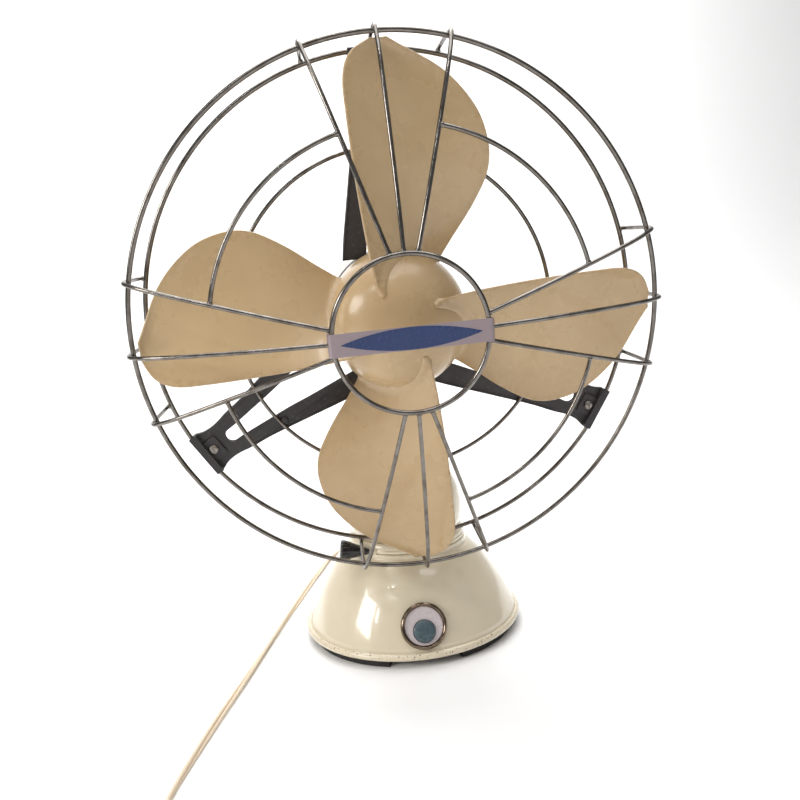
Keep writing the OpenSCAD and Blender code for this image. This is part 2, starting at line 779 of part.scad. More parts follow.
hub_wall = 2.6;
hub_points = [
    [hub_r - 0.6, 52], [hub_r, 56], [hub_r, 68], [hub_r - 0.9, 78], [hub_r - 3.7, 88.5], [hub_r - 9.2,
        97.8],
    [hub_r - 17.7, 105], [hub_r - 29.2, 110.2], [hub_r - 41.2, 112.6], [0, 113.2]
];

module impeller_hub() {
    curve = smooth(hub_points, 3);
    inner = [for (p = curve) if (p[0] > 14) [p[0] - hub_wall, p[1] - (p[1] > 84 ? hub_wall * 0.7 : 0)]];
    color("burlywood") on_head() difference() {
        rotate_extrude($fn = fine) polygon(concat(
            curve, [[0, 106]], [[9, 106]], [[9, 63.5]], [[13, 63.5]], [[13, 107.6]],
            [for (i = [len(inner) - 1 : -1 : 0]) if (inner[i][0] > 14) inner[i]]
        ));
        translate([0, 0, 72]) rotate([0, 90, 0]) cylinder(r = 2.5, h = 14, $fn = coarse);
    }
}

module hub_insert() {
    color("silver") on_head() difference() {
        translate([0, 0, 63.5]) cylinder(r = 9, h = 34, $fn = coarse);
        translate([0, 0, 62.5]) cylinder(d = shaft_d, h = 36, $fn = coarse);
        translate([0, 0, 72]) rotate([0, 90, 0]) cylinder(r = 2.5, h = 14, $fn = coarse);
    }
}

module hub_screw() {
    color("dimgray") on_head() translate([shaft_d / 2, 0, 72]) rotate([0, 90, 0])
        cylinder(r = 2.5, h = 8.8, $fn = coarse);
}

blade_front_z = 108;               // the straight leading edge lies in one plane across the axis
root_z = 66;                       // the trailing edge's place at the root
blade_camber = 5;

// The two edges of a blade that points up, as sideways and upward places: straight leading, bulging trailing
leading_edge = [
    [-15, 22], [-18.5, 48], [-21, 78], [-22.5, 108], [-23.2, 138], [-22.4, 160], [-16, 173.5], [-2, 181.7]
];
trailing_edge = [[30, 34], [45, 54], [62, 76], [73.5, 97], [74.6, 117], [66, 140], [44, 163.5], [9, 181.9]];

// Point of the blade's middle surface: u along the blade, v across it, both from 0 to 1
function blade_at(u, v) =
    let (
        lead = along(leading_edge, u),
        trail = along(trailing_edge, u),
        at_tip = pow(u, 12),
        front = blade_front_z - 5 * u * u * u - 4 * at_tip,
        low = root_z + 20 * u + 10 * at_tip,
        camber = blade_camber * (1 - 0.75 * at_tip) * sin(180 * v)
    )
    [
        lead[0] + (trail[0] - lead[0]) * v,
        lead[1] + (trail[1] - lead[1]) * v,
        front + (low - front) * v - camber
    ];

// A blade as a thin closed skin on both sides of its middle surface
module blade() {
    nu = 18;
    nv = 9;
    mid = [for (i = [0 : nu], j = [0 : nv]) blade_at(i / nu, j / nv)];
    normal = [
        for (i = [0 : nu], j = [0 : nv])
            let (
                du = blade_at(min(1, i / nu + 0.01), j / nv) - blade_at(max(0, i / nu - 0.01), j / nv),
                dv = blade_at(i / nu, min(1, j / nv + 0.01)) - blade_at(i / nu, max(0, j / nv - 0.01))
            )
            unit(cross(dv, du))
    ];
    count = (nu + 1) * (nv + 1);
    row = nv + 1;
    front = [for (k = [0 : count - 1]) mid[k] + normal[k] * blade_t / 2];
    back = [for (k = [0 : count - 1]) mid[k] - normal[k] * blade_t / 2];
    quads = [for (i = [0 : nu - 1], j = [0 : nv - 1]) let (a = i * row + j) [a, a + 1, a + row + 1,
        a + row]];
    top = [for (q = quads, half = [[0, 1, 2], [0, 2, 3]]) [for (h = half) q[h]]];
    bottom = [for (q = quads, half = [[2, 1, 0], [3, 2, 0]]) [for (h = half) q[h] + count]];
    rim = concat(
        [for (i = [0 : nu - 1]) [i * row, (i + 1) * row]],
        [for (j = [0 : nv - 1]) [nu * row + j, nu * row + j + 1]],
        [for (i = [nu : -1 : 1]) [i * row + nv, (i - 1) * row + nv]],
        [for (j = [nv : -1 : 1]) [j, j - 1]]
    );
    sides = [for (e = rim, half = [0, 1]) half == 0 ? [e[0], e[1], e[1] + count] : [e[0], e[1] + count,
        e[0] + count]];
    polyhedron(points = concat(front, back), faces = concat(top, bottom, sides), convexity = 6);
}

module impeller_blades() {
    color("burlywood") on_head() for (k = [0 : blade_count - 1]) rotate(2 + 360 * k / blade_count) blade();
}

base_shell();
base_plate();
rubber_feet();
base_weight();
base_screws();
base_collar();
badge_bezel();
badge_plate();
switch_body();
push_button();
cord_grommet();
power_cord();
cord_coil();
plug_body();
plug_pins();
neck_bridge();
socket_cup();
swivel_stud();
swivel_washer();
swivel_nut();
tilt_yoke();
tilt_pin();
clamp_screw();
clamp_knob();
neck_ball();
neck_column();
motor_front();
motor_rear();
motor_bolts();
stator();
front_bearing();
rear_bearing();
spider();
spider_screws();
ring_clamps();
clamp_bolts();
rear_ring();
inner_ring();
front_ring();
radial_wires();
mid_arcs();
centre_ring();
badge_strap();
strap_emblem();
rotor_core();
shaft();
impeller_hub();
impeller_blades();
hub_insert();
hub_screw();
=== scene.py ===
"""Looks of the desk fan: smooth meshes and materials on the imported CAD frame. Lengths are in millimetres."""
import json
import math

import bpy
from mathutils import Matrix, Vector


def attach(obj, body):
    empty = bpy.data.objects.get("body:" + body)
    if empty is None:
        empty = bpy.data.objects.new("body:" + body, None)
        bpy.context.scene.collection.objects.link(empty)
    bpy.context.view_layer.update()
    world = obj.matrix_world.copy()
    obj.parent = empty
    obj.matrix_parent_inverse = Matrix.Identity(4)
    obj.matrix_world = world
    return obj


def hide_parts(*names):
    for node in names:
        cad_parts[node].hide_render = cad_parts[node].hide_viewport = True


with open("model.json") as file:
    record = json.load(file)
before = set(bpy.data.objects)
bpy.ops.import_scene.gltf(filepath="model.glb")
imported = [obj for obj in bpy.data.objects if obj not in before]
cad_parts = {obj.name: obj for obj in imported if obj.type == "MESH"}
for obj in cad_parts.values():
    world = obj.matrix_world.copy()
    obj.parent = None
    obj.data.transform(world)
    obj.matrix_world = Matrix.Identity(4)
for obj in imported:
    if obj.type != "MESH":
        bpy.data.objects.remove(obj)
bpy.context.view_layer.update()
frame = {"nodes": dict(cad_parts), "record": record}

MM = 0.001

# ---------------------------------------------------------------- dimensions, in millimetres

FOOT_H = 7.0
BASE_R = 98.0
BASE_H = 81.0
BALL_R = 52.0
BALL_Z = 112.0
HEAD_TILT = 6.7
AXIS_RISE = 175.6
MOTOR_R = 50.0
HUB_R = 51.2
BLADE_T = 2.0
GUARD_R = 185.0
REAR_R = 182.7
MID_R = 129.0
INNER_R = 121.6
CENTRE_R = 51.6
FRONT_Z = 100.9
REAR_Z = 55.5
INNER_Z = 51.55
CENTRE_Z = 146.0
MID_Z = 131.0
RING_WIRE = 3.5
SPOKE_WIRE = 3.0
ARM_TURNS = (91, 211, 331)
ARM_RISE = 3.4
ARM_T = 5.0
SPIDER_BACK_Z = 24.2
SPIDER_RIM_Z = 45.0
SPIDER_SCREW_R = 38.0
PAD_HALF = 17.3
PAD_END = 184.4
CLAMP_SCREW_U = 174.5
STRIP_U = 178.4
CLAMP_T = 1.6
BADGE_LEAN = 24.0
BADGE_Y = 86.6
BADGE_Z = 32.2
BEZEL_R = 19.0
BEZEL_W = 3.4
BUTTON_R = 9.0
BUTTON_DROP = 4.2
CORD_EXIT_Z = 22.0
KNOB_LENGTH = 24.88
KNOB_END = (-61, -40.4, 89.4)    # middle of the knob's wide end
KNOB_DIP = 10.0                  # fall of its axis towards the neck, in degrees
CORD_D = 5.2
CORD_REST = CORD_D / 2 + 0.1


# ---------------------------------------------------------------- frames

def turn(axis, degrees):
    return Matrix.Rotation(math.radians(degrees), 4, axis)


def shift(x, y, z):
    return Matrix.Translation((x * MM, y * MM, z * MM))


SCALE_MM = Matrix.Scale(MM, 4)
WORLD = SCALE_MM
NECK = shift(0, 0, BALL_Z) @ turn("X", HEAD_TILT) @ SCALE_MM
HEAD = shift(0, 0, BALL_Z) @ turn("X", HEAD_TILT) @ shift(0, 0, AXIS_RISE) @ turn("X", 90) @ SCALE_MM
BADGE = shift(0, -BADGE_Y, BADGE_Z) @ turn("X", 90 - BADGE_LEAN) @ SCALE_MM
SCREW = shift(*KNOB_END) @ turn("Y", 90 + KNOB_DIP) @ SCALE_MM
GROMMET = shift(0, 0, CORD_EXIT_Z) @ turn("X", -90) @ SCALE_MM


def move(x, y, z):
    """A shift inside a frame that is already in millimetres."""
    return Matrix.Translation((x, y, z))


def on_arm(degrees):
    """Frame of one spider arm: x outward along its front face, z forward out of the face, in millimetres."""
    face_z = INNER_Z - SPOKE_WIRE / 2 - 0.05
    place = move(INNER_R, 0, face_z)
    return HEAD @ turn("Z", degrees) @ place @ turn("Y", -ARM_RISE) @ move(-INNER_R, 0, 0)


# ---------------------------------------------------------------- camera

def make_camera():
    """Camera at the photograph's place: a little above and left of the fan, rolled slightly."""
    data = bpy.data.cameras.new("camera")
    data.sensor_width = 36
    data.lens = 33.8
    data.shift_x = -0.0201
    data.shift_y = 0.0684
    data.clip_start = 0.01
    data.clip_end = 20
    camera = bpy.data.objects.new("camera", data)
    bpy.context.scene.collection.objects.link(camera)
    right = Vector((0.98854, -0.12775, -0.0806)).normalized()
    back = Vector((-0.10912, -0.97292, 0.2038)).normalized()
    up = back.cross(right).normalized()
    right = up.cross(back)
    place = Matrix((right, up, back)).transposed().to_4x4()
    place.translation = Vector((-0.0583, -0.6531, 0.293))
    camera.matrix_world = place
    bpy.context.scene.camera = camera
    bpy.context.scene.view_settings.view_transform = "Standard"


make_camera()


# ---------------------------------------------------------------- node helpers

class Nodes:
    """Small wrapper that builds a Principled material out of short calls."""

    def __init__(self, name):
        self.material = bpy.data.materials.new(name)
        self.material.use_nodes = True
        self.tree = self.material.node_tree
        self.shader = self.tree.nodes["Principled BSDF"]

    def add(self, kind, inputs=None, **settings):
        node = self.tree.nodes.new(kind)
        for key, value in settings.items():
            setattr(node, key, value)
        for key, value in (inputs or {}).items():
            self.feed(node, key, value)
        return node

    def feed(self, node, key, value):
        if hasattr(value, "is_output"):
            self.tree.links.new(value, node.inputs[key])
        else:
            node.inputs[key].default_value = value

    def place(self):
        """Position on the piece, in metres."""
        if not hasattr(self, "coords"):
            self.coords = self.add("ShaderNodeTexCoord")
        return self.coords.outputs["Object"]

    def noise(self, scale, detail=4.0, rough=0.5, vector=None):
        node = self.add(
            "ShaderNodeTexNoise",
            {"Vector": vector or self.place(), "Scale": scale, "Detail": detail, "Roughness": rough},
        )
        return node.outputs["Fac"]

    def spots(self, scale):
        node = self.add("ShaderNodeTexVoronoi", {"Vector": self.place(), "Scale": scale})
        return node.outputs["Distance"]

    def remap(self, value, low, high, to_low=0.0, to_high=1.0):
        node = self.add(
            "ShaderNodeMapRange",
            {"Value": value, "From Min": low, "From Max": high, "To Min": to_low, "To Max": to_high},
        )
        return node.outputs["Result"]

    def math(self, operation, a, b=0.0):
        node = self.add("ShaderNodeMath", operation=operation)
        self.feed(node, 0, a)
        self.feed(node, 1, b)
        return node.outputs["Value"]

    def mix(self, factor, a, b):
        node = self.add("ShaderNodeMix", data_type="RGBA")
        self.feed(node, 0, factor)
        self.feed(node, 6, a)
        self.feed(node, 7, b)
        return node.outputs[2]

    def attribute(self, name):
        return self.add("ShaderNodeAttribute", attribute_name=name).outputs["Fac"]

    def bump(self, height, strength, distance):
        node = self.add("ShaderNodeBump", {"Height": height, "Strength": strength, "Distance": distance})
        self.tree.links.new(node.outputs["Normal"], self.shader.inputs["Normal"])

    def set(self, **values):
        names = {"color": "Base Color", "rough": "Roughness", "metal": "Metallic", "coat": "Coat Weight",
                 "coat_rough": "Coat Roughness"}
        for key, value in values.items():
            self.feed(self.shader, names[key], value)
        return self.material


def rgb(r, g, b):
    """Linear colour from 0-255 display values."""
    linear = [((v / 255 + 0.055) / 1.055) ** 2.4 if v > 10 else v / 255 / 12.92 for v in (r, g, b)]
    return (*linear, 1.0)


# ---------------------------------------------------------------- materials

def cream_blade():
    """Glossy cream moulding, warmer in patches, with fine brown specks along its edges."""
    n = Nodes("cream_blade")
    tone = n.mix(n.remap(n.noise(9, 3), 0.35, 0.65), rgb(182, 154, 114), rgb(196, 169, 129))
    streak = n.remap(n.noise(60, 5, 0.6), 0.55, 0.75)
    tone = n.mix(n.math("MULTIPLY", streak, 0.2), tone, rgb(168, 138, 94))
    near_edge = n.attribute("edge_wear")
    chip = n.math("MULTIPLY", n.remap(n.noise(2300, 3, 0.7), 0.6, 0.66), n.remap(near_edge, 0.3, 1.0))
    tone = n.mix(n.remap(chip, 0.15, 0.7, 0.0, 0.8), tone, rgb(112, 72, 40))
    grime = n.math("MULTIPLY", n.remap(n.noise(260, 4), 0.45, 0.8), n.remap(near_edge, 0.5, 1.0))
    tone = n.mix(n.math("MULTIPLY", grime, 0.5), tone, rgb(148, 108, 64))
    n.bump(n.noise(35, 2), 0.12, 0.002)
    return n.set(color=tone, rough=n.remap(n.noise(45, 4), 0.3, 0.7, 0.22, 0.36), coat=0.3, coat_rough=0.1)


def ivory_enamel():
    """Stove enamel on the base: cream, glossy, with small chips along the bead and a few dark specks."""
    n = Nodes("ivory_enamel")
    tone = n.mix(n.noise(9, 4), rgb(212, 199, 172), rgb(224, 212, 188))
    stain = n.remap(n.noise(38, 6, 0.6), 0.56, 0.8)
    tone = n.mix(n.math("MULTIPLY", stain, 0.35), tone, rgb(192, 176, 140))
    low = n.attribute("edge_wear")
    chip = n.math("MULTIPLY", n.remap(n.noise(520, 3, 0.65), 0.62, 0.66), n.remap(low, 0.45, 1.0))
    tone = n.mix(n.remap(chip, 0.3, 0.6), tone, rgb(84, 60, 42))
    speck = n.remap(n.spots(70), 0.04, 0.026)
    tone = n.mix(n.math("MULTIPLY", speck, n.remap(n.noise(20), 0.52, 0.6)), tone, rgb(120, 84, 50))
    height = n.math("ADD", n.noise(26, 3), n.math("MULTIPLY", chip, -0.6))
    n.bump(height, 0.1, 0.002)
    return n.set(color=tone, rough=n.remap(n.noise(60, 4), 0.3, 0.7, 0.12, 0.22), coat=0.6, coat_rough=0.05)


def worn_chrome(name, light, dark, rough_low=0.14, rough_high=0.34):
    """Plated wire or ring: grey reflections, slight tarnish and pitting."""
    n = Nodes(name)
    patch = n.remap(n.noise(95, 5, 0.6), 0.45, 0.68)
    tone = n.mix(patch, light, dark)
    pit = n.remap(n.noise(1500, 3, 0.7), 0.62, 0.7)
    tone = n.mix(n.math("MULTIPLY", pit, 0.5), tone, rgb(62, 54, 48))
    n.bump(n.noise(700, 3), 0.08, 0.0004)
    return n.set(color=tone, metal=1.0, rough=n.remap(n.noise(160, 4), 0.35, 0.7, rough_low, rough_high))


def spider_paint():
    """Dark grey painted casting with rubbed lighter patches and cast grain."""
    n = Nodes("spider_paint")
    tone = n.mix(n.noise(40, 5, 0.6), rgb(46, 44, 45), rgb(66, 63, 64))
    rub = n.remap(n.noise(300, 5, 0.65), 0.56, 0.7)
    tone = n.mix(n.math("MULTIPLY", rub, 0.4), tone, rgb(98, 93, 92))
    n.bump(n.noise(900, 4, 0.6), 0.3, 0.0006)
    return n.set(color=tone, metal=0.3, rough=n.remap(n.noise(150, 4), 0.3, 0.7, 0.36, 0.56))


def strap_metal():
    """Thin pinkish-silver sheet, brushed along its length."""
    n = Nodes("strap_metal")
    stretch = n.add("ShaderNodeMapping", {"Vector": n.place(), "Scale": (0.06, 1.0, 1.0)})
    brushed = n.noise(1800, 4, 0.6, stretch.outputs["Vector"])
    tone = n.mix(brushed, rgb(138, 124, 128), rgb(162, 148, 152))
    n.bump(brushed, 0.1, 0.0003)
    return n.set(color=tone, metal=0.6, rough=n.remap(brushed, 0.3, 0.7, 0.28, 0.4))


def plain(name, low, high, rough=(0.3, 0.45), metal=0.0, grain=300, bump=0.1, coat=0.0):
    """Two-tone surface with fine grain, for small parts."""
    n = Nodes(name)
    tone = n.mix(n.noise(grain * 0.3, 4), low, high)
    n.bump(n.noise(grain, 4), bump, 0.0005)
    return n.set(color=tone, metal=metal, rough=n.remap(n.noise(grain * 0.7, 3), 0.3, 0.7, *rough), coat=coat)


def button_plastic():
    """Teal-grey push button with rubbed paler patches."""
    n = Nodes("button_plastic")
    tone = n.mix(n.remap(n.noise(260, 5, 0.7), 0.38, 0.66), rgb(58, 76, 82), rgb(86, 102, 108))
    n.bump(n.noise(500, 3), 0.12, 0.0004)
    return n.set(color=tone, rough=n.remap(n.noise(300, 3), 0.3, 0.7, 0.28, 0.42), coat=0.3)


MATERIALS = {
    "blade_cream": cream_blade(),
    "enamel": ivory_enamel(),
    "wire_chrome": worn_chrome("wire_chrome", rgb(128, 123, 118), rgb(98, 91, 84), 0.12, 0.26),
    "bezel": worn_chrome("bezel_chrome", rgb(132, 116, 100), rgb(98, 82, 68), 0.08, 0.2),
    "spider_metal": spider_paint(),
    "strap": strap_metal(),
    "emblem": plain("emblem_blue", rgb(14, 40, 88), rgb(18, 46, 98), (0.2, 0.3), 0.0, 500, 0.03, 0.15),
    "badge_face": plain("badge_face", rgb(206, 194, 196), rgb(218, 207, 208), (0.25, 0.35), 0.1, 500, 0.05,
                        0.3),
    "button": button_plastic(),
    "rubber": plain("foot_rubber", rgb(26, 25, 24), rgb(46, 44, 42), (0.6, 0.85), 0.0, 600, 0.4),
    "knob_black": plain("knob_black", rgb(15, 14, 15), rgb(26, 24, 24), (0.2, 0.36), 0.0, 400, 0.1, 0.3),
    "cord": plain("cord_ivory", rgb(222, 202, 176), rgb(234, 216, 192), (0.42, 0.6), 0.0, 700, 0.15),
    "plug": plain("plug_ivory", rgb(214, 200, 172), rgb(226, 212, 186), (0.28, 0.42), 0.0, 400, 0.1, 0.2),
    "pins": worn_chrome("pin_brass", rgb(212, 176, 104), rgb(170, 132, 70), 0.2, 0.34),
    "screw_steel": worn_chrome("screw_steel", rgb(150, 144, 138), rgb(92, 84, 78), 0.24, 0.44),
    "plate_steel": worn_chrome("plate_steel", rgb(140, 138, 134), rgb(104, 98, 92), 0.34, 0.5),
    "iron": plain("cast_iron", rgb(52, 50, 48), rgb(74, 70, 67), (0.6, 0.8), 0.5, 500, 0.5),
    "bakelite": plain("bakelite", rgb(62, 34, 20), rgb(84, 48, 28), (0.3, 0.45), 0.0, 300, 0.1, 0.2),
    "bronze": worn_chrome("bronze", rgb(176, 132, 78), rgb(132, 94, 52), 0.34, 0.5),
    "windings": plain("windings", rgb(96, 58, 30), rgb(132, 84, 44), (0.35, 0.5), 0.3, 900, 0.6),
    "laminations": plain("laminations", rgb(92, 92, 94), rgb(122, 122, 124), (0.35, 0.5), 0.7, 900, 0.4),
}


def paint_frame():
    """Every CAD node takes the material of its slot."""
    for row in frame["record"]["subparts"]:
        node = frame["nodes"][row["node"]]
        node.data.materials.clear()
        node.data.materials.append(MATERIALS[row["material_slot"]])


paint_frame()


# ---------------------------------------------------------------- mesh helpers

def piece(name, verts, faces, place, body, material, stands_for=(), sharp=35, wear=None):
    """A mesh object in the row frame, shaded smooth up to a sharp angle, riding on a body."""
    mesh = bpy.data.meshes.new(name)
    mesh.from_pydata([place @ Vector(v) for v in verts], [], faces)
    mesh.validate()
    if wear is not None:
        layer = mesh.attributes.new("edge_wear", "FLOAT", "POINT")
        layer.data.foreach_set("value", wear)
    return finish_piece(name, mesh, body, material, stands_for, sharp)


def finish_piece(name, mesh, body, material, stands_for=(), sharp=35):
    obj = bpy.data.objects.new(name, mesh)
    bpy.context.scene.collection.objects.link(obj)
    mesh.materials.clear()
    mesh.materials.append(MATERIALS[material])
    mesh.polygons.foreach_set("use_smooth", [True] * len(mesh.polygons))
    mesh.set_sharp_from_angle(angle=math.radians(sharp))
    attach(obj, body)
    if stands_for:
        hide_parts(*stands_for)
    return obj


def spline_point(points, s):
    """Place at s, from 0 to 1, on a Catmull-Rom curve through the points."""
    last = len(points) - 1
    x = min(max(s, 0.0), 1.0) * last
    i = min(int(x), last - 1)
    t = x - i
    b, c = Vector(points[i]), Vector(points[i + 1])
    a = Vector(points[i - 1]) if i > 0 else 2 * b - c
    d = Vector(points[i + 2]) if i + 2 <= last else 2 * c - b
    square, cube = 2 * a - 5 * b + 4 * c - d, 3 * b - a - 3 * c + d
    return 0.5 * (2 * b + (c - a) * t + square * t * t + cube * t ** 3)


def smooth(points, steps):
    """A Catmull-Rom curve through the points, with so many steps between two of them."""
    count = (len(points) - 1) * steps
    return [spline_point(points, k / count) for k in range(count + 1)]


def ring_of(i, sides, start=0):
    """Numbers of the vertices in ring i."""
    return range(start + i * sides, start + (i + 1) * sides)


def band(low, high):
    """Faces between two rings of vertices; a ring on the axis is one vertex."""
    faces = []
    count = max(len(low), len(high))
    for k in range(count):
        n = (k + 1) % count
        if count == 1:
            break
        if len(low) == 1:
            faces.append((low[0], high[n], high[k]))
        elif len(high) == 1:
            faces.append((low[k], low[n], high[0]))
        else:
            faces.append((low[k], low[n], high[n], high[k]))
    return faces


def smooth_flat(points, steps):
    """The same for flat points."""
    return [(p[0], p[1]) for p in smooth([(x, y, 0) for x, y in points], steps)]


def lathe(name, profile, place, body, material, stands_for=(), segments=128, closed=True, sharp=35):
    """A profile of (radius, height) pairs turned about z. Points on the axis close to one vertex."""
    verts, faces, rows = [], [], []
    for r, z in profile:
        if r < 1e-6:
            rows.append([len(verts)])
            verts.append((0, 0, z))
        else:
            rows.append(list(range(len(verts), len(verts) + segments)))
            for k in range(segments):
                a = 2 * math.pi * k / segments
                verts.append((r * math.cos(a), r * math.sin(a), z))
    pairs = list(zip(rows, rows[1:])) + ([(rows[-1], rows[0])] if closed else [])
    for low, high in pairs:
        faces += band(low, high)
    return piece(name, verts, faces, place, body, material, stands_for, sharp)


def tube_mesh(path, radius, sides, closed=False, across=None, verts=None, faces=None):
    """Adds a round tube along the path to verts and faces. radius may be a function of the point's index."""
    verts = [] if verts is None else verts
    faces = [] if faces is None else faces
    start, count = len(verts), len(path)
    side = None
    for i, p in enumerate(path):
        a = path[i - 1] if (i > 0 or closed) else p
        b = path[(i + 1) % count] if (i < count - 1 or closed) else p
        ahead = (b - a).normalized()
        if across is not None:
            side = (across - across.dot(ahead) * ahead).normalized()
        elif side is None:
            side = ahead.orthogonal().normalized()
        else:
            side = (side - side.dot(ahead) * ahead).normalized()
        up = ahead.cross(side)
        r = radius(i) if callable(radius) else radius
        for k in range(sides):
            t = 2 * math.pi * k / sides
            verts.append(p + r * (math.cos(t) * side + math.sin(t) * up))
    for i in range(count if closed else count - 1):
        faces += band(ring_of(i, sides, start), ring_of((i + 1) % count, sides, start))
    if not closed:
        faces.append(tuple(start + k for k in reversed(range(sides))))
        faces.append(tuple(start + (count - 1) * sides + k for k in range(sides)))
    return verts, faces


def sheet_rim(rows, row):
    """Edges round a grid of vertices, in order."""
    rim = [(i * row, (i + 1) * row) for i in range(rows - 1)]
    rim += [((rows - 1) * row + j, (rows - 1) * row + j + 1) for j in range(row - 1)]
    rim += [(i * row + row - 1, (i - 1) * row + row - 1) for i in range(rows - 1, 0, -1)]
    return rim + [(j, j - 1) for j in range(row - 1, 0, -1)]


def ring_path(radius, z, steps, first=0.0, last=360.0):
    """Points round the z axis; a full circle leaves out its last point."""
    full = abs(last - first - 360.0) < 1e-6
    count = steps if full else steps + 1
    angles = [math.radians(first + (last - first) * k / steps) for k in range(count)]
    return [Vector((radius * math.cos(a), radius * math.sin(a), z)) for a in angles]


def blob_mesh(centre, size, verts, faces, rings=8, sides=12):
    """Adds a small squashed ball, such as a weld bead; size is its three half-widths."""
    start = len(verts)
    for i in range(rings + 1):
        v = math.pi * i / rings
        for k in range(sides):
            t = 2 * math.pi * k / sides
            offset = Vector((math.sin(v) * math.cos(t) * size[0], math.sin(v) * math.sin(t) * size[1],
                             math.cos(v) * size[2]))
            verts.append(Vector(centre) + offset)
    for i in range(rings):
        for k in range(sides):
            n = (k + 1) % sides
            here, there = start + i * sides, start + (i + 1) * sides
            faces.append((here + k, there + k, there + n, here + n))


# ---------------------------------------------------------------- cord, first

CORD_ROUTE = [
    (0, 122, 22), (0, 128, 21.3), (0, 140, 17), (0, 152, 10.6), (-1, 164, 5), (-3, 176, CORD_REST),
    (-7, 192, CORD_REST), (-15, 208, CORD_REST), (-27, 221, CORD_REST), (-42, 226, CORD_REST),
    (-57, 221, CORD_REST), (-68, 209, CORD_REST), (-76, 192, CORD_REST), (-84, 165, CORD_REST),
    (-94, 130, CORD_REST), (-104, 92, CORD_REST), (-119, 34, CORD_REST), (-134, -24, CORD_REST),
    (-148, -80, CORD_REST), (-162, -135, CORD_REST), (-173, -182, CORD_REST), (-180, -215, CORD_REST),
    (-184, -240, CORD_REST), (-186.6, -262, CORD_REST),
]
COIL = (-224.0, -274.0)
COIL_MID_R = 31.0
COIL_TURNS = 3          # turns in each of the two layers
COIL_STEP = 5.2         # from one turn to the next
PLUG = (COIL[0] - 12.0, COIL[1] - 38.6, 7.6)


def coil_points(steps=48):
    """Clockwise turns: inward on the table, one step up, and outward again to the plug."""
    points = []
    outer = COIL_MID_R + COIL_STEP
    first = math.radians(-2)
    sweep = math.radians(-360 * COIL_TURNS * 2 - 88)
    count = int(steps * (COIL_TURNS * 2 + 0.25))
    for k in range(count + 1):
        s = k / count
        angle = first + sweep * s
        turns = abs(angle - first) / (2 * math.pi)
        inward = min(turns, COIL_TURNS) / COIL_TURNS
        outward = max(0.0, min(1.0, (turns - COIL_TURNS) / COIL_TURNS))
        r = outer - 2 * COIL_STEP * (inward - outward)
        climb = max(0.0, min(1.0, (turns - COIL_TURNS + 0.25) / 0.5))
        z = CORD_REST + (CORD_D - 0.1) * (3 * climb ** 2 - 2 * climb ** 3)
        points.append(Vector((COIL[0] + r * math.cos(angle), COIL[1] + r * math.sin(angle), z)))
    return points


def cord_centreline():
    lead = smooth(CORD_ROUTE, 6)
    coil = coil_points()
    end = Vector(PLUG)
    return lead + coil + [coil[-1].lerp(end, 0.5), end + Vector((-3, 0, 0))]


def resample(points, step):
    """The same line with points a fixed step apart."""
    out, carry = [points[0].copy()], 0.0
    for a, b in zip(points, points[1:]):
        length = (b - a).length
        while carry + length >= step and length > 1e-9:
            t = (step - carry) / length
            a = a.lerp(b, t)
            out.append(a.copy())
            length = (b - a).length
            carry = 0.0
        carry += length
    out.append(points[-1].copy())
    return out


def relax(points, rounds):
    """Softens kinks where two stretches meet, keeping both ends."""
    for _ in range(rounds):
        points = [points[0]] + [
            (a + 2 * b + c) / 4 for a, b, c in zip(points, points[1:], points[2:])
        ] + [points[-1]]
    return points


def make_cord():
    """Flat twin flex: two round cores side by side that twist a few times along the visible stretch."""
    line = relax(resample(cord_centreline(), 2.2), 3)
    core = CORD_D / 4
    cores = ([], [])
    travelled = 0.0
    for i, p in enumerate(line):
        a, b = line[max(i - 1, 0)], line[min(i + 1, len(line) - 1)]
        ahead = (b - a).normalized()
        flat = ahead.cross(Vector((0, 0, 1))).normalized()
        up = flat.cross(ahead)
        travelled += (p - line[max(i - 1, 0)]).length
        free = min(1.0, travelled / 90) * max(0.0, min(1.0, (690 - travelled) / 60))
        twist = free * (0.35 + 2.6 * math.pi * travelled / 640)
        across = math.cos(twist) * flat + math.sin(twist) * up
        for side, strand in zip((-1, 1), cores):
            strand.append(p + side * core * across)
    verts, faces = [], []
    for strand in cores:
        tube_mesh(strand, core, 12, False, None, verts, faces)
    cord = piece("twin_cord", verts, faces, WORLD, "base", "cord", ("power_cord", "cord_coil"), 60)


make_cord()


def make_cord_tie():
    """A thin wire tie round the coil, with a short twist on top."""
    middle = Vector((COIL[0] - COIL_MID_R, COIL[1], CORD_D + 0.55))
    wide, high, wire = 8.8, 5.4, 0.4
    loop = []
    for k in range(48):
        a = 2 * math.pi * k / 48
        x = wide * math.copysign(abs(math.cos(a)) ** 0.5, math.cos(a))
        z = high * math.copysign(abs(math.sin(a)) ** 0.5, math.sin(a))
        loop.append(middle + Vector((x, 0, z)))
    verts, faces = tube_mesh(loop, wire, 8, True, Vector((0, 1, 0)))
    for side in (0, math.pi):
        top = middle + Vector((0, 0, high + wire))
        tail = [
            top + Vector((0.4 * math.cos(side + k * 0.7), k * 0.5, 0.4 * math.sin(side + k * 0.7) + 0.4))
            for k in range(24)
        ]
        tube_mesh(tail, wire, 8, False, None, verts, faces)
    piece("cord_tie", verts, faces, WORLD, "base", "rubber", (), 60)


make_cord_tie()


# ---------------------------------------------------------------- stage

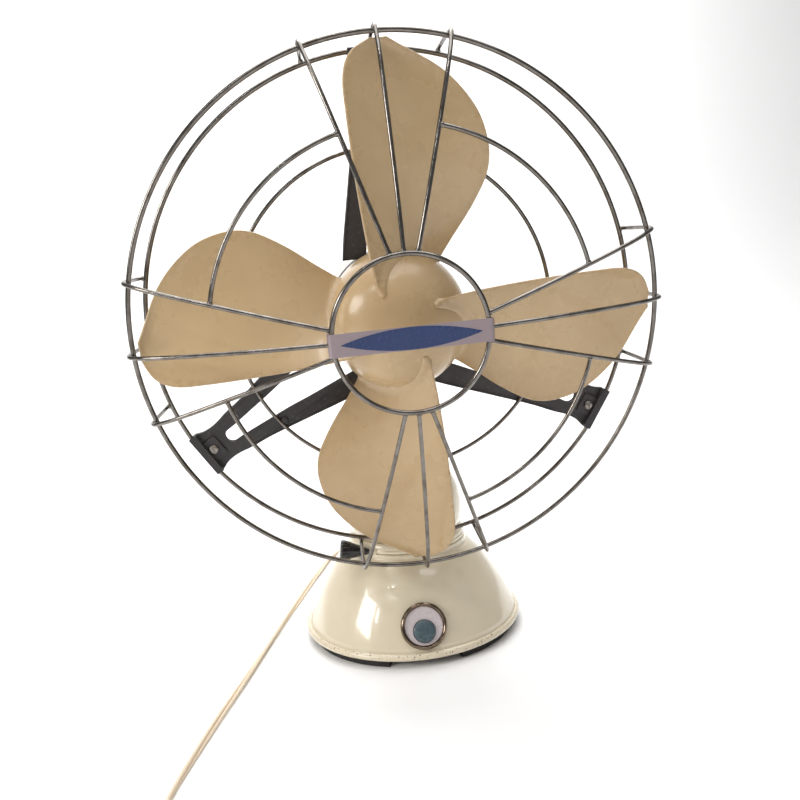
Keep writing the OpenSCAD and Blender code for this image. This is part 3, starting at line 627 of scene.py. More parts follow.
def make_stage():
    """Pale floor that sweeps up behind the fan, soft lights, small bright panels and a pale sky."""
    verts, faces = [], []
    section = [(-6.0, 0.0), (1.6, 0.0)]
    for a in range(10, 91, 10):
        section.append((1.6 + 1.2 * math.sin(math.radians(a)), 1.2 - 1.2 * math.cos(math.radians(a))))
    section.append((2.8, 5.0))
    for y, z in section:
        verts += [(-6, y, z), (6, y, z)]
    faces = [(2 * i, 2 * i + 1, 2 * i + 3, 2 * i + 2) for i in range(len(section) - 1)]
    mesh = bpy.data.meshes.new("floor")
    mesh.from_pydata(verts, [], faces)
    mesh.polygons.foreach_set("use_smooth", [True] * len(mesh.polygons))
    floor = bpy.data.objects.new("floor", mesh)
    bpy.context.scene.collection.objects.link(floor)
    n = Nodes("floor_paper")
    tone = n.mix(n.noise(2, 3), (0.93, 0.93, 0.93, 1), (0.96, 0.96, 0.96, 1))
    mesh.materials.append(n.set(color=tone, rough=0.7))

    def area(name, place, target, size, power, tint=(1, 1, 1), tall=None):
        data = bpy.data.lights.new(name, "AREA")
        data.shape = "RECTANGLE"
        data.size = size
        data.size_y = tall or size
        data.energy = power
        data.color = tint
        light = bpy.data.objects.new(name, data)
        light.location = place
        light.rotation_euler = (Vector(target) - Vector(place)).to_track_quat("-Z", "Y").to_euler()
        bpy.context.scene.collection.objects.link(light)

    aim = (0, 0, 0.22)
    area("key", (-2.1, -1.0, 1.1), aim, 0.8, 24, (1.0, 0.98, 0.94))
    area("fill", (1.9, -1.3, 0.9), aim, 1.5, 0.6, (0.98, 0.98, 1.0))
    area("top", (0.1, -0.2, 2.3), (0.1, -0.1, 0), 2.2, 40)
    area("wall_wash", (0, 1.2, 2.4), (0, 2.5, 0.6), 1.8, 60)
    area("panel_left", (-0.9, -1.3, 1.5), aim, 0.34, 2, (1, 1, 1), 0.05)
    area("panel_high", (-0.2, -1.2, 1.9), aim, 0.5, 2.5, (1, 1, 1), 0.06)
    area("panel_low", (-1.3, -1.1, 0.9), aim, 0.07, 1.5, (1, 1, 1), 0.3)
    world = bpy.data.worlds.new("studio")
    world.use_nodes = True
    tree = world.node_tree
    coords = tree.nodes.new("ShaderNodeTexCoord")
    split = tree.nodes.new("ShaderNodeSeparateXYZ")
    ramp = tree.nodes.new("ShaderNodeValToRGB")
    span = tree.nodes.new("ShaderNodeMapRange")
    span.inputs["From Min"].default_value = -1
    tree.links.new(coords.outputs["Generated"], split.inputs[0])
    tree.links.new(split.outputs["Z"], span.inputs["Value"])
    tree.links.new(span.outputs["Result"], ramp.inputs["Fac"])
    tree.links.new(ramp.outputs["Color"], tree.nodes["Background"].inputs["Color"])
    stops = ramp.color_ramp.elements
    stops[0].position, stops[0].color = 0.30, (0.2, 0.19, 0.18, 1)
    stops[1].position, stops[1].color = 0.85, (1.0, 1.0, 1.0, 1)
    middle = stops.new(0.52)
    middle.color = (0.5, 0.5, 0.5, 1)
    tree.nodes["Background"].inputs["Strength"].default_value = 0.32
    bpy.context.scene.world = world


make_stage()


# ---------------------------------------------------------------- guard

OVER_FRONT = GUARD_R + (RING_WIRE + SPOKE_WIRE) / 2
OVER_REAR = REAR_R + (RING_WIRE + SPOKE_WIRE) / 2
GROUP_IN = 10.0
GROUP_OUT = 14.9
GROUP_TURNS = (-1.6, 88.4, 178.4, 268.4)
SPOKE_POINTS = [
    (CENTRE_R + RING_WIRE / 2 - 0.2, 145.6), (80, 142), (105, 137), (MID_R, MID_Z), (155, 123.4),
    (172, 116.4), (181, 110.4), (186.2, 105.6), (OVER_FRONT, FRONT_Z), (189.4, 93), (188, 74),
    (OVER_REAR, 53.5),
]


def polar(radius, degrees, z=0.0):
    """Point at an angle clockwise from straight up."""
    return Vector((radius * math.sin(math.radians(degrees)), radius * math.cos(math.radians(degrees)), z))


def spoke_path(k, degrees):
    """Centreline of one radial wire: group at so many degrees from straight up, k = -1, 0 or 1 within it."""
    start, reach = SPOKE_POINTS[0][0], SPOKE_POINTS[8][0]
    foot = polar(start, degrees + k * GROUP_IN)
    head = polar(reach, degrees + k * GROUP_OUT)
    points = []
    for p in smooth([(r, z, 0) for r, z in SPOKE_POINTS], 6):
        at = foot + (head - foot) * ((p[0] - start) / (reach - start))
        points.append(Vector((at.x, at.y, p[1])))
    return points


def make_guard():
    """Smooth wires with the small welds that join them."""
    for name, radius, z, wire in (
        ("rear_ring", REAR_R, REAR_Z, RING_WIRE), ("front_ring", GUARD_R, FRONT_Z, RING_WIRE),
        ("inner_ring", INNER_R, INNER_Z, SPOKE_WIRE), ("centre_ring", CENTRE_R, CENTRE_Z, RING_WIRE),
    ):
        verts, faces = tube_mesh(ring_path(radius, z, 240), wire / 2, 16, True, Vector((0, 0, 1)))
        piece("wire_" + name, verts, faces, HEAD, "head", "wire_chrome", (name,), 60)

    verts, faces = [], []
    welds, weld_faces = [], []
    for group in GROUP_TURNS:
        for k in (-1, 0, 1):
            path = spoke_path(k, group)
            tube_mesh(path, SPOKE_WIRE / 2, 12, False, None, verts, faces)
            at = polar(CENTRE_R + RING_WIRE / 2 + 0.3, group + k * GROUP_IN, CENTRE_Z - 0.6)
            blob_mesh(at, (1.9, 1.9, 1.6), welds, weld_faces)
            front = polar(GUARD_R + 1.9, group + k * GROUP_OUT, FRONT_Z)
            blob_mesh(front, (2.0, 2.0, 2.2), welds, weld_faces)
            rear = polar(REAR_R + 1.8, group + k * GROUP_OUT, REAR_Z - 0.3)
            blob_mesh(rear, (2.0, 2.0, 2.2), welds, weld_faces)
    piece("wire_spokes", verts, faces, HEAD, "head", "wire_chrome", ("radial_wires",), 60)

    share = (MID_R - CENTRE_R) / (OVER_FRONT - CENTRE_R)
    side = polar(CENTRE_R, GROUP_IN).lerp(polar(OVER_FRONT, GROUP_OUT), share)
    ends = math.degrees(math.atan2(side.x, side.y) + math.asin(SPOKE_WIRE / 2 / MID_R))
    verts, faces = [], []
    for group in GROUP_TURNS:
        path = ring_path(MID_R, MID_Z, 48, ends - group, 90 - ends - group)
        tube_mesh(path, SPOKE_WIRE / 2, 14, False, Vector((0, 0, 1)), verts, faces)
        for point in (path[0], path[-1]):
            blob_mesh(point, (1.9, 1.9, 1.8), welds, weld_faces)
    piece("wire_mid_arcs", verts, faces, HEAD, "head", "wire_chrome", ("mid_arcs",), 60)
    piece("guard_welds", welds, weld_faces, HEAD, "head", "wire_chrome", (), 60)


make_guard()


# ---------------------------------------------------------------- impeller

HUB_PROFILE = [
    (HUB_R - 0.6, 52), (HUB_R, 56), (HUB_R, 68), (HUB_R - 0.9, 78), (HUB_R - 3.7, 88.5), (HUB_R - 9.2, 97.8),
    (HUB_R - 17.7, 105), (HUB_R - 29.2, 110.2), (HUB_R - 41.2, 112.6), (0, 113.2),
]
LEADING = [
    (-15, 22), (-18.5, 48), (-21, 78), (-22.5, 108), (-23.2, 138), (-22.4, 160), (-16, 173.5), (-2, 181.7),
]
TRAILING = [(30, 34), (45, 54), (62, 76), (73.5, 97), (74.6, 117), (66, 140), (44, 163.5), (9, 181.9)]
BLADE_FRONT_Z = 108.0
ROOT_Z = 66.0
CAMBER = 5.0
FILLET = 4.0
BLADE_PHASE = 2.0


HUB_CURVE = smooth_flat(HUB_PROFILE, 6)


def outside_hub(p):
    """Distance from a point to the hub's outer surface, negative inside."""
    r = math.hypot(p.x, p.y)
    best, sign = 1e9, 1
    for (r0, z0), (r1, z1) in zip(HUB_CURVE, HUB_CURVE[1:]):
        dr, dz = r1 - r0, z1 - z0
        t = max(0.0, min(1.0, ((r - r0) * dr + (p.z - z0) * dz) / (dr * dr + dz * dz + 1e-12)))
        er, ez = r - (r0 + dr * t), p.z - (z0 + dz * t)
        d = math.hypot(er, ez)
        if d < best:
            best, sign = d, (1 if er * dz - ez * dr > 0 else -1)
    return best * sign


def blade_mid(u, v):
    """Middle surface of the blade that points up: u along it, v from its leading to its trailing edge."""
    lead = spline_point([(x, y, 0) for x, y in LEADING], u)
    trail = spline_point([(x, y, 0) for x, y in TRAILING], u)
    at_tip = u ** 12
    front = BLADE_FRONT_Z - 5 * u ** 3 - 4 * at_tip
    low = ROOT_Z + 20 * u + 10 * at_tip
    camber = CAMBER * (1 - 0.75 * at_tip) * math.sin(math.pi * v)
    flat = lead + (trail - lead) * v
    return Vector((flat.x, flat.y, front + (low - front) * v - camber))


def spaced(count, near, steps):
    """Values from 0 to 1 with extra ones close to both ends."""
    ends = [near * (k / steps) ** 1.6 for k in range(steps)]
    inner = [near + (1 - 2 * near) * k / count for k in range(count + 1)]
    return ends + inner + [1 - e for e in reversed(ends)]


def make_impeller():
    """Hub dome and four blades with rounded edges, each flaring into the dome in a small fillet."""
    us = [k / 70 for k in range(66)] + [66 / 70, 0.955, 0.97, 0.982, 0.991, 0.996, 0.999, 1.0]
    vs = spaced(40, 0.02, 5)
    verts, faces, wear = [], [], []
    row = len(vs)
    grid = [[blade_mid(u, v) for v in vs] for u in us]
    fronts, backs, worn = [], [], []
    for i, u in enumerate(us):
        for j, v in enumerate(vs):
            p = grid[i][j]
            du = blade_mid(min(1, u + 0.004), v) - blade_mid(max(0, u - 0.004), v)
            dv = blade_mid(u, min(1, v + 0.004)) - blade_mid(u, max(0, v - 0.004))
            normal = dv.cross(du).normalized()
            to_edge = min((p - grid[i][0]).length, (p - grid[i][-1]).length, (p - grid[-1][j]).length)
            e = min(1.0, to_edge / (BLADE_T / 2))
            half = BLADE_T / 2 * math.sqrt(max(0.0, 1 - (1 - e) ** 2))
            d = outside_hub(p)
            reach = min(max(FILLET - d, 0.0), FILLET)
            flare = (FILLET - math.sqrt(max(0.0, FILLET ** 2 - reach ** 2))) * 0.8
            half += flare if d > 0 else FILLET * 0.8
            fronts.append(p + normal * half)
            backs.append(p - normal * half)
            worn.append(max(0.0, 1 - to_edge / 14))
    count = len(fronts)
    quads = [(i * row + j, i * row + j + 1, (i + 1) * row + j + 1, (i + 1) * row + j)
             for i in range(len(us) - 1) for j in range(row - 1)]
    rim = sheet_rim(len(us), row)
    for blade in range(4):
        spin = Matrix.Rotation(math.radians(BLADE_PHASE + 90 * blade), 3, "Z")
        start = len(verts)
        verts += [spin @ p for p in fronts] + [spin @ p for p in backs]
        wear += worn + worn
        faces += [tuple(start + k for k in q) for q in quads]
        faces += [tuple(start + count + k for k in reversed(q)) for q in quads]
        faces += [(start + b, start + a, start + count + a, start + count + b) for a, b in rim]
    piece("blades", verts, faces, HEAD, "rotor", "blade_cream", ("impeller_blades",), 50, wear)
    inner = [(max(r - 2.6, 0), z - (2.0 if z > 84 else 0)) for r, z in HUB_CURVE if r > 15.6]
    profile = [(HUB_R - 3.0, 52.4), (HUB_R - 2.4, 51.9), (HUB_R - 1.2, 51.8)] + HUB_CURVE
    profile += [(0, 106), (9, 106), (9, 63.5), (13, 63.5), (13, 107.4)]
    profile += [p for p in reversed(inner) if p[1] > 52.8]
    lathe("hub_dome", profile, HEAD, "rotor", "blade_cream", ("impeller_hub",), 160, True, 50)


make_impeller()


# ---------------------------------------------------------------- spider

def flat_shape(name, outlines, thick, bevel, place, body, material, stands_for=()):
    """A plate with rounded edges and its top at z = 0, from flat outlines; those after the first are holes."""
    curve = bpy.data.curves.new(name, "CURVE")
    curve.dimensions = "2D"
    curve.fill_mode = "BOTH"
    curve.extrude = thick / 2 - bevel
    curve.bevel_depth = bevel
    curve.bevel_resolution = 3
    curve.offset = -bevel
    for outline in outlines:
        line = curve.splines.new("POLY")
        line.points.add(len(outline) - 1)
        for point, (x, y) in zip(line.points, outline):
            point.co = (x, y, 0, 1)
        line.use_cyclic_u = True
    maker = bpy.data.objects.new(name + "_maker", curve)
    bpy.context.scene.collection.objects.link(maker)
    bpy.context.view_layer.update()
    mesh = bpy.data.meshes.new_from_object(maker.evaluated_get(bpy.context.evaluated_depsgraph_get()))
    bpy.data.objects.remove(maker)
    bpy.data.curves.remove(curve)
    mesh.transform(place @ move(0, 0, -thick / 2))
    mesh.name = name
    return finish_piece(name, mesh, body, material, stands_for, 40)


def mirrored(points):
    """An outline from its half with y below 0, given from one end to the other."""
    return points + [(x, -y) for x, y in reversed(points)]


def arc(cx, cy, r, first, last, steps):
    """Points of a flat arc between two angles."""
    return [(cx + r * math.cos(math.radians(first + (last - first) * k / steps)),
             cy + r * math.sin(math.radians(first + (last - first) * k / steps))) for k in range(steps + 1)]


def cut_prisms(obj, place, outlines, low, high, sharp=40):
    """Takes prisms that stand on flat outlines, from low to high, out of a piece."""
    verts, faces = [], []
    for outline in outlines:
        start, n = len(verts), len(outline)
        verts += [place @ Vector((x, y, z)) for z in (low, high) for x, y in outline]
        faces.append(tuple(start + k for k in reversed(range(n))))
        faces.append(tuple(start + n + k for k in range(n)))
        faces += [(start + k, start + (k + 1) % n, start + n + (k + 1) % n, start + n + k) for k in range(n)]
    cutter_mesh = bpy.data.meshes.new("cutter")
    cutter_mesh.from_pydata(verts, [], faces)
    cutter = bpy.data.objects.new("cutter", cutter_mesh)
    bpy.context.scene.collection.objects.link(cutter)
    cut = obj.modifiers.new("cut", "BOOLEAN")
    cut.operation = "DIFFERENCE"
    cut.solver = "EXACT"
    cut.object = cutter
    bpy.context.view_layer.update()
    mesh = bpy.data.meshes.new_from_object(obj.evaluated_get(bpy.context.evaluated_depsgraph_get()))
    obj.modifiers.clear()
    obj.data = mesh
    mesh.polygons.foreach_set("use_smooth", [True] * len(mesh.polygons))
    mesh.set_sharp_from_angle(angle=math.radians(sharp))
    bpy.data.objects.remove(cutter)


def screw_head(name, place, radius, height, degrees, body, stands_for=()):
    """Round slotted head with a domed top, standing on z = 0; the shank below stays hidden in its hole."""
    rings = [
        (0, 0), (radius, 0), (radius, height * 0.45), (radius * 0.95, height * 0.7),
        (radius * 0.78, height * 0.9), (radius * 0.5, height), (0, height),
    ]
    turned = place @ turn("Z", degrees)
    obj = lathe(name, rings, turned, body, "screw_steel", stands_for, 48, False, 40)
    x, y = radius * 1.2, 0.5
    cut_prisms(obj, turned, [[(-x, -y), (x, -y), (x, y), (-x, y)]], height * 0.5, height + 1)


ARM_EDGE = [
    (44, -35.4), (47, -35), (59.4, -33.1), (74.5, -30.2), (98, -25.6), (115, -22.3), (133, -19),
    (146, -17.4), (153, -16.4), (160, -15), (166, -14.5), (172, -15), (176, -16.3), (178.5, -PAD_HALF),
    (181, -PAD_HALF), (PAD_END, -PAD_HALF),
]
GAP_EDGE = [(44, -18.3), (64, -16), (88.7, -13.1), (109, -10.3), (133, -8), (150, -6.4)]


def oblong(near, far):
    """Outline as wide as an arm's pad, from one distance to another."""
    return [(near, -PAD_HALF), (far, -PAD_HALF), (far, PAD_HALF), (near, PAD_HALF)]


def make_spider():
    """Three arms and their dished ring, with ribs, rounded edges and clamps over the rear ring."""
    curve = smooth_flat(ARM_EDGE[:-1], 4)
    outer = mirrored(curve + [(PAD_END - 0.8, -PAD_HALF), (PAD_END, -PAD_HALF + 0.8)])
    inner_edge = smooth_flat(GAP_EDGE, 4)
    gap = mirrored(inner_edge + arc(156.5, 0, 6.2, -84, 0, 8))

    def cast(name, outlines, thick, bevel, place, stands_for=()):
        flat_shape(name, outlines, thick, bevel, place, "head", "spider_metal", stands_for)

    for i, degrees in enumerate(ARM_TURNS):
        arm = on_arm(degrees)
        first = i == 0
        cast(f"spider_arm_{i}", [outer, gap], ARM_T, 0.8, arm, ("spider",) if first else ())
        for m in (-1, 1):
            rib = [(46, m * 34.8), (130, m * 19.3), (129.4, m * 16.3), (46, m * 31.8)]
            cast(f"spider_rib_{i}_{m + 1}", [rib], 4.6, 0.6, arm @ move(0, 0, -ARM_T + 0.6))
            lip = [(p[0], m * (-p[1] - 0.2)) for p in curve if p[0] < 150]
            lip += [(x, y - m * 1.5) for x, y in reversed(lip)]
            cast(f"spider_lip_{i}_{m + 1}", [lip], 1.8, 0.5, arm @ move(0, 0, 0.9))
            lug = arc(117.6, m * 15, 2.9, 0, 345, 23)
            cast(f"spider_lug_{i}_{m + 1}", [lug], 3.6, 1.1, arm @ move(0, 0, 2.2))
        clamp = arm @ move(0, 0, RING_WIRE + 0.25 + CLAMP_T)
        strip = oblong(STRIP_U, PAD_END)
        cast(f"ring_clamp_{i}", [strip], CLAMP_T, 0.6, clamp, ("ring_clamps",) if first else ())
        wall = oblong(STRIP_U, STRIP_U + 1.4)
        cast(f"ring_clamp_wall_{i}", [wall], RING_WIRE + 1.2, 0.3, clamp @ move(0, 0, -0.5))
        tab = arc(169.5, -6.5, 2, 180, 270, 4) + [(179, -8.5), (179, 8.5)] + arc(169.5, 6.5, 2, 90, 180, 4)
        cast(f"ring_clamp_tab_{i}", [tab], 1.7, 0.5, arm @ move(0, 0, 1.65))
        seat = arm @ move(CLAMP_SCREW_U, 0, 1.6)
        stands_for = ("clamp_bolts",) if first else ()
        screw_head(f"clamp_screw_head_{i}", seat, 3.6, 2.4, 25 + 50 * i, "head", stands_for)
        seat = HEAD @ turn("Z", degrees + 60) @ move(SPIDER_SCREW_R, 0, SPIDER_BACK_Z + 5.4)
        stands_for = ("spider_screws",) if first else ()
        screw_head(f"spider_screw_head_{i}", seat, 3.8, 2.6, 40 * i, "head", stands_for)
    rim = SPIDER_RIM_Z - SPIDER_BACK_Z
    ring = [
        (33, 0), (50, 0), (50, rim - 1), (49.6, rim - 0.3), (48.8, rim), (45.2, rim), (44.4, rim - 0.3),
        (44, rim - 1), (44, 7.4), (43.4, 6), (42, 5.4), (34, 5.4), (33, 4.6),
    ]
    lathe("spider_ring", ring, HEAD @ move(0, 0, SPIDER_BACK_Z), "head", "spider_metal", (), 128)


make_spider()


# ---------------------------------------------------------------- badge strap

STRAP_HALF = 7.6
STRAP_T = 0.8
STRAP_Z = CENTRE_Z + RING_WIRE / 2 + 0.5
STRAP = HEAD @ turn("Z", 1.1) @ move(0, -1.2, 0)


def make_strap():
    """Thin strap folded back round the centre ring at both ends, with a plain lens-shaped enamel field."""
    fold = RING_WIRE / 2 + 0.5 + STRAP_T / 2
    bend = [(CENTRE_R + fold * math.cos(math.radians(a)), CENTRE_Z + fold * math.sin(math.radians(a)))
            for a in range(-90, 91, 9)]
    flat = [(CENTRE_R * (1 - k / 12), STRAP_Z + STRAP_T / 2) for k in range(1, 24)]
    line = bend + flat + [(-x, z) for x, z in reversed(bend)]
    across = [-STRAP_HALF + 2 * STRAP_HALF * k / 8 for k in range(9)]
    front, back = [], []
    for i, (x, z) in enumerate(line):
        before, after = line[max(i - 1, 0)], line[min(i + 1, len(line) - 1)]
        along_x, along_z = after[0] - before[0], after[1] - before[1]
        size = math.hypot(along_x, along_z)
        out_x, out_z = along_z / size * STRAP_T / 2, -along_x / size * STRAP_T / 2
        front += [(x + out_x, y, z + out_z) for y in across]
        back += [(x - out_x, y, z - out_z) for y in across]
    rows, row = len(line), len(across)
    count = rows * row
    quads = [(i * row + j, (i + 1) * row + j, (i + 1) * row + j + 1, i * row + j + 1)
             for i in range(rows - 1) for j in range(row - 1)]
    rim = sheet_rim(rows, row)
    faces = [tuple(reversed(q)) for q in quads] + [tuple(count + k for k in q) for q in quads]
    faces += [(a, b, count + b, count + a) for a, b in rim]
    strap = piece("strap_sheet", front + back, faces, STRAP, "head", "strap", ("badge_strap",), 40)
    for k in (-1, 0, 1):
        notch = HEAD @ turn("Z", 1.6 + k * GROUP_IN)
        slot = [(-60, -1.8), (60, -1.8), (60, 1.8), (-60, 1.8)]
        cut_prisms(strap, notch, [slot], CENTRE_Z - 6, CENTRE_Z + 1.6)
    half_len, half_h = 46.5, STRAP_HALF - 0.3
    lens_r = (half_len ** 2 + half_h ** 2) / (2 * half_h)
    reach = math.degrees(math.asin(half_len / lens_r))
    lower = arc(0, lens_r - half_h, lens_r, -90 - reach, -90 + reach, 60)
    upper = arc(0, half_h - lens_r, lens_r, 90 - reach, 90 + reach, 60)
    flat_shape("strap_lens", [lower + upper[1:-1]], 0.5, 0.12, STRAP @ move(0, 0, STRAP_Z + STRAP_T + 0.38),
               "head", "emblem", ("strap_emblem",))


make_strap()


# ---------------------------------------------------------------- base

DOME = [
    (93.5, 16), (90, 24.5), (84.3, 37), (79.5, 46), (74, 55), (66.5, 66), (58, BASE_H - 6.5),
    (54.3, BASE_H - 4.2),
]


def circle(radius, steps, x=0.0, y=0.0):
    return [(x + radius * math.cos(2 * math.pi * k / steps), y + radius * math.sin(2 * math.pi * k / steps))
            for k in range(steps)]


def wear_layer(obj, rule):
    """Writes edge_wear from a rule on each vertex's place in the row frame, in millimetres."""
    layer = obj.data.attributes.new("edge_wear", "FLOAT", "POINT")
    layer.data.foreach_set("value", [rule(v.co / MM) for v in obj.data.vertices])


def make_base():
    """Enamelled dome with its rolled bead and the step round the cup."""
    bead = arc(BASE_R - 3, FOOT_H + 3, 3, 180, 470, 29)
    dome = smooth_flat(DOME, 6)
    step = [
        (53.3, -3.5), (52.95, -2.9), (52.8, -2.2), (52.85, -1.7), (53.15, -1.2), (53.2, -0.4), (53.05, 0.4),
        (52.7, 1.05), (52, 1.4), (46.1, 1.4), (45.6, 1.2), (45.4, 0.7), (45.4, -1.6), (48.8, -2.8),
        (52.8, -5),
    ]
    inside = [(r - 1.44, z - 0.8) for r, z in reversed(dome[:-6])]
    profile = bead + [(93.55, FOOT_H + 6.6)] + dome + [(r, BASE_H + z) for r, z in step]
    profile += inside + [(91.9, FOOT_H + 4.4)]
    shell = lathe("base_dome", profile, WORLD, "base", "enamel", ("base_shell", "base_collar"), 192, True, 40)
    cut_prisms(shell, BADGE, [circle(BEZEL_R - 2, 64)], -20, 20)
    cut_prisms(shell, GROMMET, [circle(6, 40)], 60, 120)
    wear_layer(shell, lambda p: max(0.0, min(1.0, (FOOT_H + 10 - p.z) / 5)))


def arc_piece(name, profile, first, last, steps, body, material, stands_for=()):
    """A profile turned part of the way round z, with its ends drawn in a little so that they look rounded."""
    verts, faces = [], []
    mean_r = sum(r for r, _ in profile) / len(profile)
    mean_z = sum(z for _, z in profile) / len(profile)
    angles = [first + (last - first) * k / steps for k in range(steps + 1)]
    angles = [first - 0.6, first - 0.45] + angles + [last + 0.45, last + 0.6]
    for i, a in enumerate(angles):
        near = min(i, len(angles) - 1 - i)
        shrink = (0.82, 0.95)[near] if near < 2 else 1.0
        for r, z in profile:
            r, z = mean_r + (r - mean_r) * shrink, mean_z + (z - mean_z) * shrink
            verts.append((r * math.cos(math.radians(a)), r * math.sin(math.radians(a)), z))
    n, rows = len(profile), len(angles)
    for i in range(rows - 1):
        for k in range(n):
            m = (k + 1) % n
            faces.append((i * n + k, (i + 1) * n + k, (i + 1) * n + m, i * n + m))
    faces.append(tuple(range(n)))
    faces.append(tuple((rows - 1) * n + k for k in reversed(range(n))))
    return piece(name, verts, faces, WORLD, body, material, stands_for, 40)


def make_feet():
    profile = [
        (80, 0.9), (80.3, 0.3), (81, 0), (91, 0), (91.7, 0.3), (92, 0.9), (91.8, 6), (91.4, 6.9), (90, 7),
        (80, 7),
    ]
    for i in range(4):
        middle = 45 + 90 * i
        stands_for = ("rubber_feet",) if i == 0 else ()
        arc_piece(f"foot_{i}", profile, middle - 25.1, middle + 25.1, 24, "base", "rubber", stands_for)


def make_badge():
    """Chromed bezel, plain plate and domed push button."""
    r = BEZEL_R
    rim = [
        (r - BEZEL_W, -6), (r - 2.1, -6), (r - 2.1, -0.3), (r - 0.5, 0.05), (r, 0.5), (r, 1.1),
        (r - 0.15, 1.6), (r - 0.6, 2.3), (r - 1.2, 2.8), (r - 1.7, 2.95), (r - 2.2, 2.8), (r - 2.8, 2.2),
        (r - 3.2, 1.6), (r - BEZEL_W, 1.1),
    ]
    lathe("bezel_ring", rim, BADGE, "base", "bezel", ("badge_bezel",), 128)
    hole = circle(BUTTON_R + 0.3, 96, 0, -BUTTON_DROP)
    flat_shape("badge_disc", [circle(BEZEL_R - BEZEL_W, 128), hole], 1.8, 0.25, BADGE @ move(0, 0, 0.6),
               "base", "badge_face", ("badge_plate",))
    b = BUTTON_R
    cap = [
        (0, -8.5), (3, -8.5), (3, -3), (b - 0.3, -3), (b, -2.7), (b, 1.9), (b - 0.12, 2.4),
        (b - 0.45, 2.85), (b - 1, 3.15), (b * 0.8, 3.35), (b * 0.5, 3.52), (b * 0.25, 3.58), (0, 3.6),
    ]
    place = BADGE @ move(0, -BUTTON_DROP, 0)
    lathe("button_cap", cap, place, "button", "button", ("push_button",), 96, False)


make_base()
make_feet()
make_badge()


# ---------------------------------------------------------------- neck and motor

def ball_half_width(radius, z):
    return math.sqrt(max(0.0, radius ** 2 - (z - BALL_Z) ** 2))


def make_cup():
    """Turning cup with a stepped flange, hollow for the ball, and the boss that the clamp screw runs in."""
    inner, outer = BALL_R + 0.3, BALL_R + 2.3
    bottom = BALL_Z - outer + 0.6
    flange = BASE_H + 1.7
    rise = (flange - 1 - bottom) / 24
    bowl = [(ball_half_width(outer, bottom + rise * k), bottom + rise * k) for k in range(25)]
    steps = [
        (45, -0.5), (45.4, 0), (51.6, 0), (52.2, 0.2), (52.5, 0.8), (52.5, 2.1), (52.3, 2.6), (51.75, 3),
        (51.6, 3.4), (51.6, 3.9), (51.8, 4.3), (52.15, 4.6), (52.15, 5.1), (51.8, 6.2), (51.3, 7.1),
        (50.8, 7.8), (50.2, 8.25), (49.6, 8.3), (48.7, 8.3),
    ]
    lip = BALL_Z - 21.3
    drop = (lip - BALL_Z + inner) / 24
    inside = [(ball_half_width(inner, lip - drop * k), lip - drop * k) for k in range(24)]
    profile = [(0, bottom)] + bowl + [(r, flange + z) for r, z in steps] + inside + [(0, BALL_Z - inner)]
    lathe("cup_shell", profile, WORLD, "swivel", "enamel", ("socket_cup",), 160, False)
    boss = [(1.7, 0.5), (2.9, 0.5), (3.2, 0.8), (3.2, 6), (1.7, 6)]
    lathe("cup_boss", boss, SCREW @ move(0, 0, KNOB_LENGTH), "swivel", "enamel", (), 48)


def make_knob():
    """Black conical thumb knob with shallow flutes round its wide end."""
    rings = [
        (0, 0.35), (4, 0.15), (6.4, 0), (7.4, 0.15), (8.2, 0.6), (8.6, 1.2), (8.7, 1.9), (8.6, 3),
        (8.3, 4.5), (7.7, 7), (7.0, 9.6), (5.8, 13.4), (4.4, 17.8), (3.2, 21.6), (2.7, 23.6), (2.3, 24.5),
        (1.8, 24.8), (0, 24.8),
    ]
    sides = 144
    verts, faces, rows = [], [], []
    for r, z in rings:
        if r == 0:
            rows.append([len(verts)])
            verts.append((0, 0, z))
            continue
        rows.append(list(range(len(verts), len(verts) + sides)))
        deep = 0.6 * max(0.0, min(1.0, (r - 6.2) / 1.6)) * max(0.0, min(1.0, (10.5 - z) / 2))
        for k in range(sides):
            a = 2 * math.pi * k / sides
            flute = max(0.0, math.cos(12 * a)) ** 1.5
            verts.append(((r - deep * flute) * math.cos(a), (r - deep * flute) * math.sin(a), z))
    for low, high in zip(rows, rows[1:]):
        faces += band(low, high)
    piece("knob_grip", verts, faces, SCREW, "knob", "knob_black", ("clamp_knob",), 50)


def make_neck():
    """Hollow ball and the waisted column that carries the motor."""
    angles = [-43.8 + 90.8 * k / 48 for k in range(49)]
    skin = [(BALL_R * math.cos(math.radians(a)), BALL_R * math.sin(math.radians(a))) for a in angles]
    lining = [(r * 49.5 / BALL_R, z * 49.5 / BALL_R) for r, z in reversed(skin)]
    lathe("ball_shell", skin + lining, NECK, "head", "enamel", ("neck_ball",), 160, True, 50)
    waist = [
        (34.9, 37.7), (28.5, 43), (24, 52), (22, 66), (22.5, 84), (25, 100), (29, 114), (34, 127), (37, 144),
    ]
    skin = [(12, 37.7)] + smooth_flat(waist, 6) + [(12, 144)]
    column = lathe("column_skin", skin, NECK, "head", "enamel", ("neck_column",), 128)
    cut_prisms(column, HEAD, [circle(MOTOR_R - 0.1, 160)], -80, 80)
    cut_prisms(column, NECK, [[(-60, -100), (60, -100), (60, -20), (-60, -20)]], 104, 164)


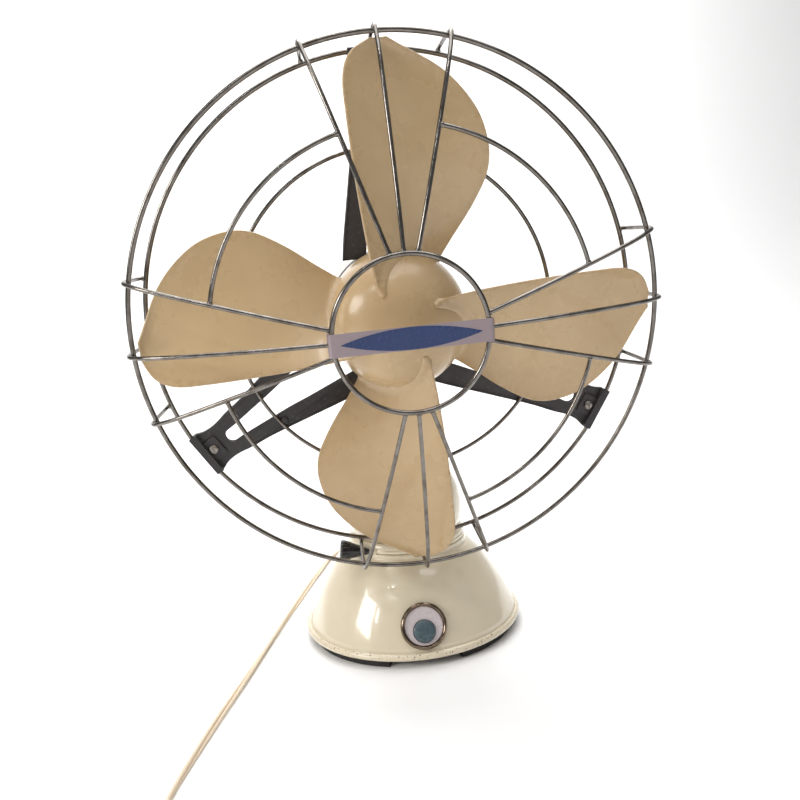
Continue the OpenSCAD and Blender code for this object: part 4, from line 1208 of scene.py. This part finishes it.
def make_motor():
    """Both halves of the motor's housing; the rear one has a ring of cooling slots."""
    r = MOTOR_R
    front = [
        (r, 0.3), (r, 16.4), (r - 0.25, 18.6), (r - 0.9, 20.8), (r - 2.2, 22.6), (r - 3.8, 23.7),
        (r - 5.4, 24.2), (29.8, 24.2), (28, 24.7), (26.8, 26),
    ]
    front += smooth_flat([(26.8, 26), (23.6, 36), (20.6, 50), (19.4, 55.4)], 5)[1:]
    front += [
        (18.8, 57.2), (17.4, 58), (10, 58), (10, 44), (17, 44), (20.4, 33), (24, 24), (26.4, 21.7),
        (r - 6, 21.7), (r - 2.5, 18), (r - 2.5, 0.3),
    ]
    lathe("motor_nose", front, HEAD, "head", "enamel", ("motor_front",), 160)
    back = [(0, -62), (13, -61.7), (25, -60.4), (r - 13, -56), (r - 6, -50), (r - 1.6, -42), (r, -34)]
    back = smooth_flat(back, 6)
    back += [
        (r, -0.5), (r - 0.3, -0.1), (r - 2.5, -0.1), (r - 2.5, -33.4), (r - 4, -40.6), (r - 8, -47.4),
        (r - 15, -52.6), (24, -56.2), (14, -57), (12.5, -42), (10, -42), (10, -54), (6, -54), (6, -58.8),
        (0, -59),
    ]
    rear = lathe("motor_cap", back, HEAD, "head", "enamel", ("motor_rear",), 160, False)
    slots = []
    for k in range(12):
        a = math.radians(30 * k)
        outline = arc(32, 0, 1.6, -90, 90, 10) + arc(20, 0, 1.6, 90, 270, 10)
        c, s = math.cos(a), math.sin(a)
        slots.append([(x * c - y * s, x * s + y * c) for x, y in outline])
    cut_prisms(rear, HEAD, slots, -66, -52)


make_cup()
make_knob()
make_neck()
make_motor()


# ---------------------------------------------------------------- grommet and plug

def make_grommet():
    """Moulded bush in the base's flank with a ribbed tail over the cord."""
    tail = []
    for k in range(61):
        s = k / 60
        groove = 0.45 * max(0.0, math.sin(s * math.pi * 12)) ** 0.6
        tail.append((4.9 - 1.9 * s - (groove if 0.08 < s < 0.92 else 0), 101 + 20.9 * s))
    profile = [
        (0, 82), (8, 82), (8, 84.6), (5.9, 85), (5.9, 94.6), (7.6, 94.7), (8, 95.1), (7.95, 96),
        (7.4, 97.4), (6.2, 99.2),
    ]
    lathe("cord_bush", profile + tail + [(0, 121.9)], GROMMET, "base", "cord",
          ("cord_grommet",), 64, False)


def make_plug():
    """Two-pin plug with a tapering tail and grip grooves."""
    sections = [
        (0, 0, 2.7), (0.4, 0, 2.9), (8, 0, 3.3), (16, 0, 3.9), (21, 0, 4.4), (23.4, 0.6, 5.0), (24.6, 3, 5.7),
        (25.6, 5.6, 6.4), (27, 6.8, 6.95), (29, 7, 7.2),
    ]
    for z in (31, 35, 39):
        sections += [(z, 7, 7.2), (z + 0.6, 7, 6.7), (z + 1.4, 7, 6.7), (z + 2, 7, 7.2)]
    sections += [(46, 7, 7.2), (47.4, 7, 6.9), (48.1, 7, 6.4), (48.4, 7, 5.6)]
    sides = 64
    verts, faces = [], []
    for z, half, r in sections:
        for k in range(sides):
            a = 2 * math.pi * (k + 0.5) / sides
            verts.append((r * math.cos(a), r * math.sin(a) + math.copysign(half, math.sin(a)), z))
    for i in range(len(sections) - 1):
        faces += band(ring_of(i, sides), ring_of(i + 1, sides))
    faces.append(tuple(reversed(range(sides))))
    faces.append(tuple((len(sections) - 1) * sides + k for k in range(sides)))
    along = turn("Y", -90) @ SCALE_MM
    piece("plug_shell", verts, faces, shift(*PLUG) @ along, "base", "plug", ("plug_body",), 40)
    pin = [(0, 0), (2, 0), (2, 17.3), (1.85, 18.1), (1.4, 18.7), (0.7, 18.95), (0, 19)]
    for i, y in enumerate((-9.5, 9.5)):
        place = shift(PLUG[0] - 48.4, PLUG[1] + y, PLUG[2]) @ along
        lathe(f"plug_pin_{i}", pin, place, "base", "pins", ("plug_pins",) if i == 0 else (), 40, False)


make_grommet()
make_plug()
